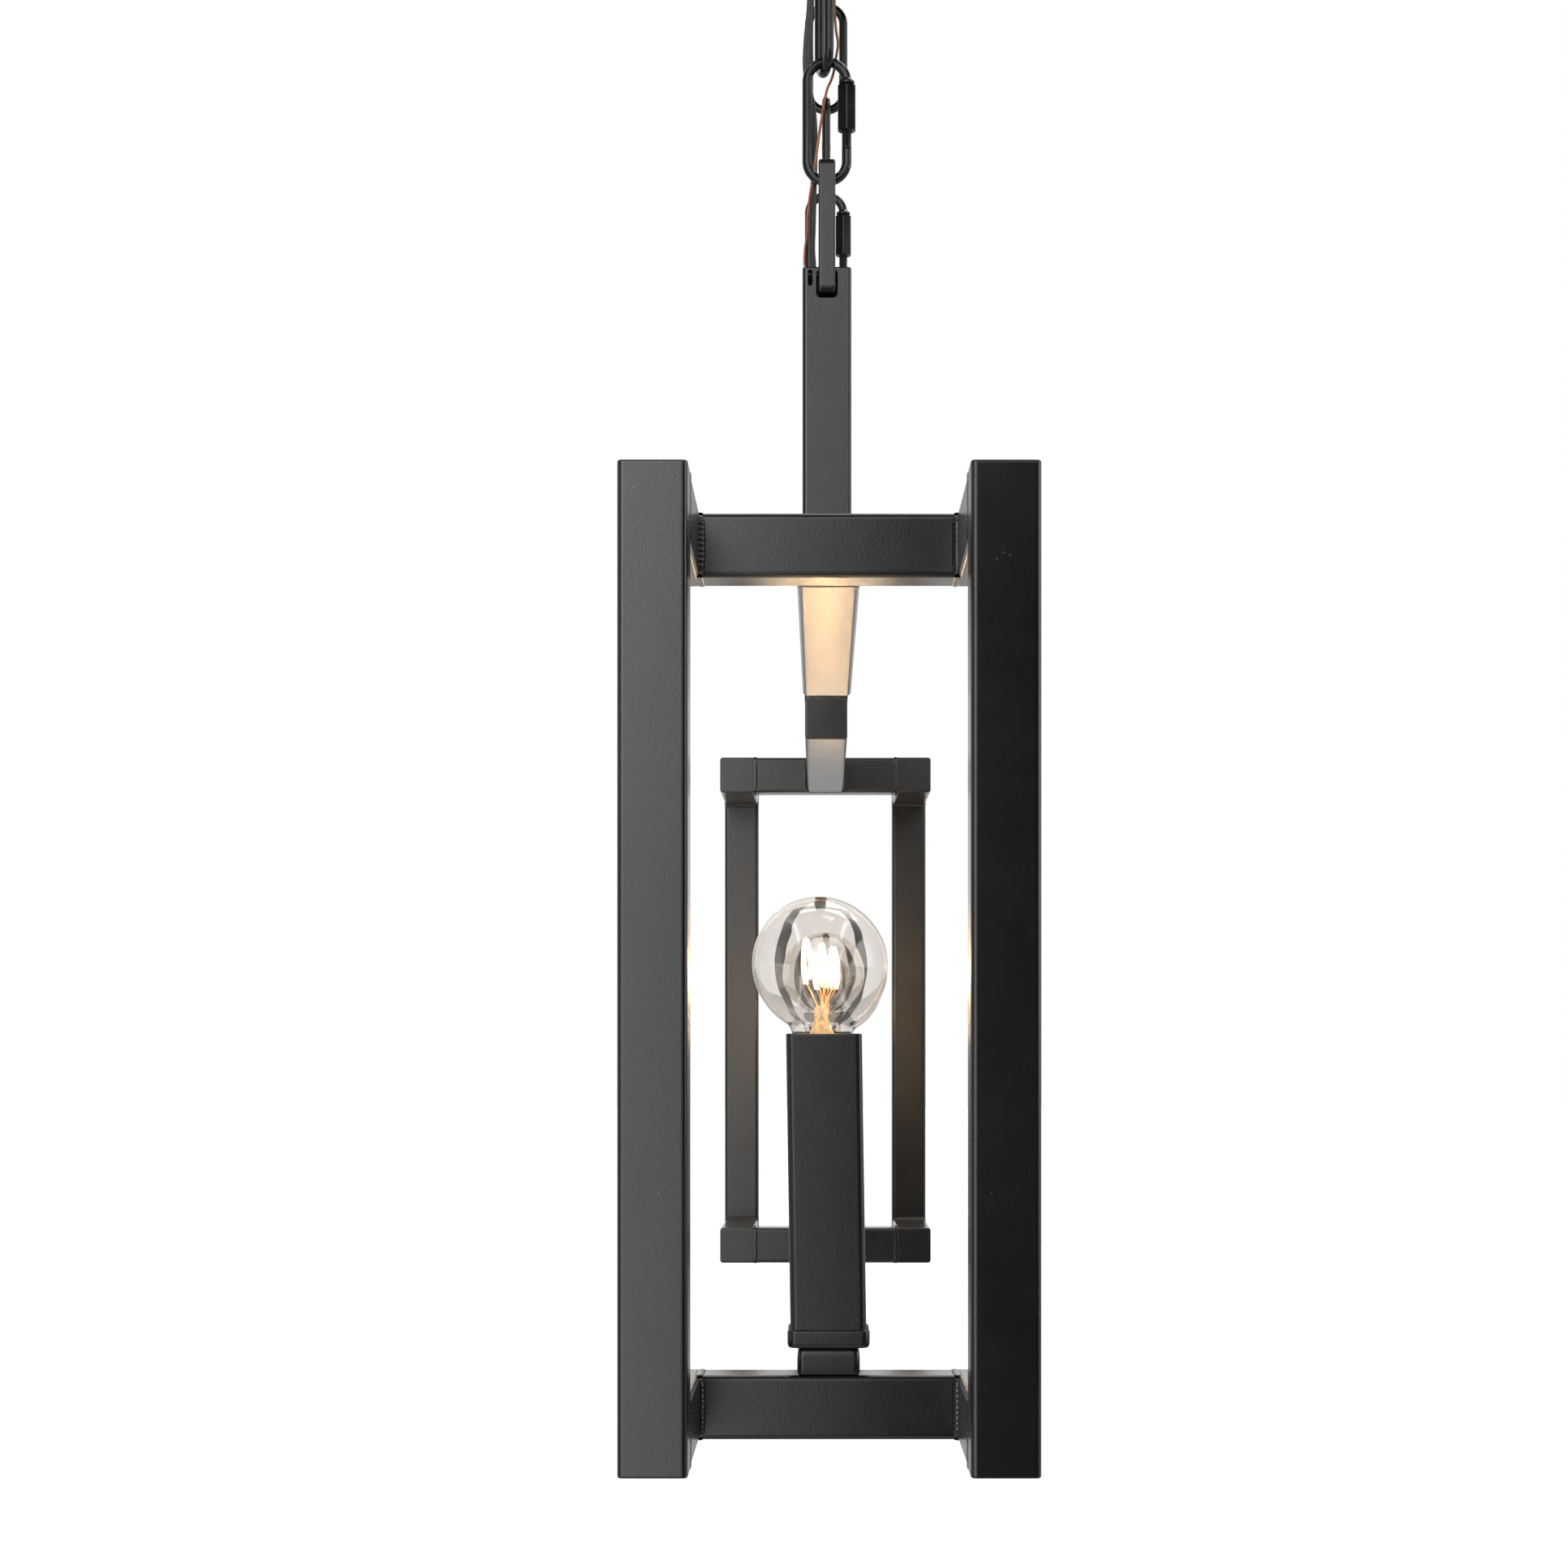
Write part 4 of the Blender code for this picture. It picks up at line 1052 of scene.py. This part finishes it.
# The brass base: radius = mean + thread * cos(2 pi z / pitch - t) between a rounded foot and a plain skirt.
def baseGrid(y):
    start, end = bulb["threadFrom"][0], bulb["threadTo"][1]
    foot, skirt = [0.1318, 0.1320, 0.1324], [0.1504, 0.1510, 0.1518, 0.1524, 0.1526]
    z = np.concatenate([foot, np.arange(start, end, bulb["threadStep"]), skirt])
    mean = np.interp(z, bulb["baseHeights"], bulb["baseRadii"])[:, None]
    screw = np.interp(z, [*bulb["threadFrom"], *bulb["threadTo"]], [0, 1, 1, 0])[:, None]
    turn = np.arange(44) / 44 * 2 * np.pi
    radius = mean + bulb["thread"] * screw * np.cos(2 * np.pi * z[:, None] / bulb["pitch"] - turn)
    return ringed(radius, z[:, None]) + [0, y, frameLow]


# A round wire through points (across, height), joined by straight lines.
def thinWire(points, radius, y, sides=8):
    path = np.array([(x, 0.0, z) for x, z in points], float) + [0, y, frameLow]
    t = np.linspace(0, len(points) - 1, 14)
    path = np.stack([np.interp(t, np.arange(len(points)), path[:, k]) for k in range(3)], 1)
    return shell(carried(path, circle(radius, sides), (0, 1, 0)))


# The filament is a coil: it follows route + R (a cos f + b sin f) with one turn for each pitch of the route.
def filamentShell(y):
    depth = bulb["filamentDepth"]
    route = [(x, y + depth * np.sin(k * 1.7), z) for k, (x, z) in enumerate(bulb["filament"])]
    path, run = smoothRoute(route, bulb["coilPitch"] / 9)
    a, b = sideVectors(path, np.array((0.0, 1.0, 0.0)))
    turn = 2 * np.pi * (run / bulb["coilPitch"])[:, None]
    coil = path + bulb["coil"] * (a * np.cos(turn) + b * np.sin(turn))
    return shell(carried(coil, circle(bulb["coilWire"], 5), (0, 1, 0)))


# Glass with an inner and an outer skin, its base, mount, lead wires and filament.
def lampBulb(k, y):
    body = f"lamp_{k}"
    place = (0, y, frameLow)

    def bulbPiece(name, parts, finish, stands=()):
        points, quads, triangles = gathered(parts)
        return piece(f"{name}{k}", [(leaned(points, k, "bulb"), quads, triangles)], finish, body, stands)

    outer = shell(turned(glassProfile(0.0), place, 72))
    inner = shell(turned(glassProfile(bulb["wall"]), place, 72)[:, ::-1])
    glass = bulbPiece("bulbGlass", [outer, inner], "clearGlass", (f"bulb_{k}",))
    glass.visible_shadow = False  # lets the bulb's own light out
    bulbPiece("bulbBase", [shell(baseGrid(y)), shell(turned(bulb["contact"], place, 32))], "brass")
    press = turned(bulb["mount"], (0, 0, 0), 36)
    press[..., 1] *= np.interp(press[..., 2], bulb["pressed"], [1.0, bulb["pressedTo"]])
    glassMount = bulbPiece("bulbMount", [shell(press + np.array(place))], "amberGlass")
    glassMount.visible_shadow = False
    bulbPiece("bulbWires", [thinWire(points, bulb["leadWire"], y) for points in bulb["leads"]], "hotWire")
    bulbPiece("bulbFilament", [filamentShell(y)], "hotFilament")


candles = sorted(n for n in frame["nodes"] if n.startswith("candle_cup_"))
for k, node in enumerate(candles, 1):
    y = (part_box(node)[0].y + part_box(node)[1].y) / 2
    candleCup(k, y)
    candleSleeve(k, y)
    lampSocket(k, y)
    lampBulb(k, y)
print("candles made:", len(candles))


# Ceiling pieces
canopy = {"wall": 0.0012, "corner": 0.010, "edge": 0.003, "groove": 0.0002, "lip": 0.0004}
legNut = {
    "apothem": 0.0042, "bore": 0.0026, "height": 0.0034, "drop": 0.0046,
    "washer": [(0.0026, -0.0011), (0.0058, -0.0011), (0.0061, -0.0009), (0.0061, -0.0004),
               (0.0058, -0.0002), (0.0026, -0.0002)],  # (radius, height) from the canopy's underside
}
canopyScrewSettings = {
    "knurls": 26, "knurlDepth": 0.035, "thread": 0.0019,
    # (radius, height) of the knob
    "knob": [
        (0.0006, 0.0), (0.0020, 0.00015), (0.0036, 0.0008), (0.0047, 0.0018), (0.0052, 0.0028),
        (0.0053, 0.0034), (0.0054, 0.0040), (0.0054, 0.0058), (0.0053, 0.0063), (0.0050, 0.0067),
        (0.0046, 0.0069), (0.0019, 0.0070),
    ],
}
bush = {
    # (radius, height) out under the flange, up the neck and down the bore
    "profile": [
        (0.0050, 0.0), (0.0072, 0.0), (0.0077, 0.0002), (0.0080, 0.0006), (0.0082, 0.0012),
        (0.0082, 0.0016), (0.0080, 0.0018), (0.0058, 0.0018), (0.0058, 0.0050), (0.0056, 0.0053),
        (0.0048, 0.0053), (0.0048, 0.0006),
    ],
}


# Outlines go out along the underside, up the side, over the rim and back across the inside.
def canopyPan():
    low, high = box("canopy")
    half = (high - low) / 2
    depth, wall, edge = high[2] - low[2], canopy["wall"], canopy["edge"]
    cut, lip = canopy["groove"], canopy["lip"]
    under = [(0.040, 0.0), (0.020, 0.0), (edge + 0.0006, 0.0)]
    roll = [(edge * (1 - np.sin(t)), edge * (1 - np.cos(t))) for t in np.linspace(0, np.pi / 2, 9)]
    groove = [(0.0, depth - 0.0060), (cut, depth - 0.0056), (cut, depth - 0.0050), (0.0, depth - 0.0046)]
    over = np.linspace(0, np.pi, 7)
    rim = [(wall / 2 - wall / 2 * np.cos(t), depth - lip + lip * np.sin(t)) for t in over]
    inside = [(wall, depth - 0.0010), (wall, edge), (edge, wall + 0.0006), (edge + 0.0012, wall)]
    floorInside = [(0.020, wall), (0.040, wall)]
    shape = under + roll + [(0.0, edge + 0.0006)] + groove + rim + inside + floorInside
    outlines = [roundedBox(half[0] - s, half[1] - s, max(canopy["corner"] - s, 0.0012)) for s, level in shape]
    grid = stacked(outlines, [level for s, level in shape], (0, 0, low[2]))
    piece("canopyPan", [shell(grid)], "powderCoat", "ceiling", ("canopy",))
    return low[2]


# A washer and a nut on each leg of the canopy loops, below the canopy's underside.
def legNuts(under):
    for end in ("near", "far"):
        low, high = box(end + "_canopy_loop")
        parts = []
        for y in (low[1] + wire / 2, high[1] - wire / 2):
            parts.append(shell(turned(legNut["washer"], (0, y, under), 40), loop=True))
            nut = hexNut((0, y, under - legNut["drop"]), legNut["apothem"], legNut["bore"], legNut["height"])
            parts.append(shell(nut, loop=True))
        piece(end + "LegNuts", parts, "blackEnamel", "ceiling", crease=26)


# A knob: round its side the profile's radius is knurled, radius * (1 + depth * cos(knurls * t)).
def canopyScrew(node):
    low, high = box(node)
    middle = (low + high) / 2
    screw = canopyScrewSettings
    thread = [(screw["thread"], 0.0120), (screw["thread"], high[2] - low[2])]
    profile = np.array(screw["knob"] + thread)
    steps = 4 * screw["knurls"]
    grid = turned(profile, (0, 0, 0), steps)
    turn = np.arange(steps) / steps * 2 * np.pi
    side = np.interp(profile[:, 1], [0.0024, 0.0032, 0.0060, 0.0066], [0, 1, 1, 0])[:, None]
    grid[..., :2] *= (1 + screw["knurlDepth"] * side * np.cos(screw["knurls"] * turn))[..., None]
    grid = grid + np.array([middle[0], middle[1], low[2]])
    piece(camel(node), [shell(grid)], "powderCoat", "ceiling", (node,))


def cordBush():
    low, high = box("cord_bush")
    middle = (low + high) / 2
    grid = turned(bush["profile"], (middle[0], middle[1], low[2]), 48)
    piece("cordBush", [shell(grid, loop=True)], "bushPlastic", "ceiling", ("cord_bush",))


under = canopyPan()
legNuts(under)
canopyScrew("near_canopy_screw")
canopyScrew("far_canopy_screw")
cordBush()
bracket = frame["nodes"]["ceiling_bracket"]
bracket.data.materials.clear()
bracket.data.materials.append(finishes["zincPlate"][0])
print("ceiling pieces made")


# Floor, card and lights
studio = {
    "floorDrop": 0.62, "floorHalf": 40.0,
    "lamps": {
        # place, aimed at, width, height, power, colour
        "topSoftbox": ((0.4, 0.6, 1.9), (0, 0, -0.5), 2.2, 2.2, 36, (1.0, 0.99, 0.97)),
        "keySoftbox": ((-0.36, -1.25, -0.46), (-0.36, 0.0, -0.46), 0.60, 1.2, 4.4, (1.0, 1.0, 1.0)),
    },
    # the dark card stands at the near end's right: x from, x to, y, z from, z to
    "card": (0.026, 0.60, -0.95, -1.25, -0.35),
    "bulbPower": 0.66, "bulbColour": (1.0, 0.66, 0.34), "bulbSize": 0.010, "bulbRise": 0.002,
    "floorSeen": 0.75, "floorUnseen": 0.10,  # how far the floor glows for the camera, and for all else
}


def stagePiece(name, corners, finish):
    mesh = bpy.data.meshes.new(name)
    mesh.from_pydata(corners, [], [(0, 1, 2, 3)])
    mesh.materials.append(finish)
    made = placed(name, mesh)
    return made


def floorFinish():
    made, tree, shader = newFinish("floor", **{"Roughness": 0.7, "Emission Color": (1, 1, 1, 1)})
    seen = addNode(tree, "ShaderNodeLightPath").outputs["Is Camera Ray"]
    glow = ranged(tree, seen, studio["floorUnseen"], studio["floorSeen"], 0, 1)
    wired(tree, glow, shader, "Emission Strength")
    base = mottled(tree, objectPlace(tree), 6, 3, (0.50, 0.50, 0.495), (0.54, 0.54, 0.535))
    wired(tree, base, shader, "Base Color")
    return made


def floor():
    half, z = studio["floorHalf"], frameLow - studio["floorDrop"]
    corners = [(-half, -half, z), (half, -half, z), (half, half, z), (-half, half, z)]
    stagePiece("floor", corners, floorFinish())


def cardFinish():
    made, tree, shader = newFinish("darkCard", **{"Roughness": 0.9})
    base = mottled(tree, objectPlace(tree), 30, 3, (0.010, 0.010, 0.010), (0.016, 0.016, 0.016))
    wired(tree, base, shader, "Base Color")
    return made


# A black flag that keeps the key light's reflection off the right-hand posts. The camera doesn't see it.
def darkCard():
    left, right, y, low, high = studio["card"]
    corners = [(left, y, low), (right, y, low), (right, y, high), (left, y, high)]
    made = stagePiece("darkCard", corners, cardFinish())
    made.visible_camera = False
    made.visible_transmission = False
    made.visible_shadow = False


# A soft box that faces its aim: tilt and turn come from the direction's height and bearing.
def softLamp(name, place, aim, width, height, power, colour):
    data = bpy.data.lights.new(name, "AREA")
    data.shape = "RECTANGLE"
    data.size = width
    data.size_y = height
    data.energy = power
    data.color = colour
    made = placed(name, data)
    made.location = place
    across, along, up = np.array(aim, float) - np.array(place, float)
    tilt = np.pi / 2 + np.arctan2(up, np.hypot(across, along))
    made.rotation_euler = (tilt, 0, np.arctan2(-across, along))
    made.visible_camera = False


# The bulbs light the frame, but not their own glass
def bulbLights():
    spared = bpy.data.collections.new("bulbPieces")
    for made in bpy.data.objects:
        if made.name.startswith(("bulbGlass", "bulbMount", "bulbWires", "bulbBase")):
            spared.objects.link(made)
    for entry in spared.collection_objects:
        entry.light_linking.link_state = "EXCLUDE"
    for k in range(1, len(candles) + 1):
        low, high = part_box(f"bulb_{k}")
        data = bpy.data.lights.new(f"bulbLight{k}", "POINT")
        data.energy = studio["bulbPower"]
        data.color = studio["bulbColour"]
        data.shadow_soft_size = studio["bulbSize"]
        made = placed(f"bulbLight{k}", data)
        made.location = (0, (low.y + high.y) / 2, frameLow + bulb["centre"] + studio["bulbRise"])
        made.light_linking.receiver_collection = spared
        made.visible_camera = False
        made.visible_transmission = False


# The studio round the lantern, by direction: X across, Y along, Z up. In front stand soft boxes with a
# dim middle, brighter above than below, two slender strips outside them, and a wide strip square to the
# lantern at each side. Behind it is pale. Each pair of numbers gives where a light begins and is full.
# The camera itself sees plain white.
worldLook = {
    "box": {"low": 0.75, "high": 1.5, "inner": (0.05, 0.13), "outer": (0.32, 0.46), "beyond": 0.03},
    "rise": {"low": 0.08, "high": 2.1, "foot": (-0.06, 0.25), "top": (0.42, 0.62)},
    "rightStrip": (2.8, 0.835, 0.865), "leftStrip": (0.9, -0.95, -0.88),
    "slender": {"power": 3.2, "inner": (0.49, 0.52), "outer": (0.57, 0.60)},
    "back": (1.0, 0.55, 0.45, 0.85), "behind": (-0.1, 0.3),
}


def world():
    made = bpy.data.worlds.new("studio")
    made.use_nodes = True
    tree = made.node_tree
    tree.nodes.clear()
    place = addNode(tree, "ShaderNodeTexCoord").outputs["Generated"]
    parts = addNode(tree, "ShaderNodeSeparateXYZ")
    tree.links.new(place, parts.inputs[0])
    across, along, up = parts.outputs
    size = addNode(tree, "ShaderNodeMath", operation="ABSOLUTE")
    tree.links.new(across, size.inputs[0])
    offside = size.outputs[0]

    def combined(operation, first, second):
        both = addNode(tree, "ShaderNodeMath", operation=operation)
        tree.links.new(first, both.inputs[0])
        tree.links.new(second, both.inputs[1])
        return both.outputs[0]

    look = worldLook["box"]
    middle = ranged(tree, offside, look["low"], look["high"], *look["inner"])
    boxes = combined("MULTIPLY", middle, ranged(tree, offside, 1, look["beyond"], *look["outer"]))
    look = worldLook["rise"]
    foot = ranged(tree, up, look["low"], look["high"], *look["foot"])
    rise = combined("MULTIPLY", foot, ranged(tree, up, 1, look["low"], *look["top"]))
    power, *reach = worldLook["rightStrip"]
    right = ranged(tree, across, 0, power, *reach)
    power, *reach = worldLook["leftStrip"]
    left = ranged(tree, across, power, 0, *reach)
    look = worldLook["slender"]
    slender = ranged(tree, offside, 0, look["power"], *look["inner"])
    slender = combined("MULTIPLY", slender, ranged(tree, offside, 1, 0, *look["outer"]))
    strips = combined("ADD", combined("ADD", right, left), slender)
    front = combined("ADD", combined("MULTIPLY", boxes, rise), strips)
    back = ranged(tree, offside, *worldLook["back"])
    level = blendColours(tree, ranged(tree, along, 0, 1, *worldLook["behind"]), front, back)

    studioLight = addNode(tree, "ShaderNodeBackground")
    tree.links.new(level, studioLight.inputs["Color"])
    plain = addNode(tree, "ShaderNodeBackground", Color=(1, 1, 1, 1))
    seen = addNode(tree, "ShaderNodeLightPath").outputs["Is Camera Ray"]
    mix = addNode(tree, "ShaderNodeMixShader")
    output = addNode(tree, "ShaderNodeOutputWorld")
    for socket, value in zip(mix.inputs, (seen, studioLight.outputs[0], plain.outputs[0])):
        tree.links.new(value, socket)
    tree.links.new(mix.outputs[0], output.inputs[0])
    bpy.context.scene.world = made


floor()
for name, lamp in studio["lamps"].items():
    softLamp(name, *lamp)
darkCard()
bulbLights()
world()
bpy.context.scene.view_settings.view_transform = "Standard"
print("studio made")
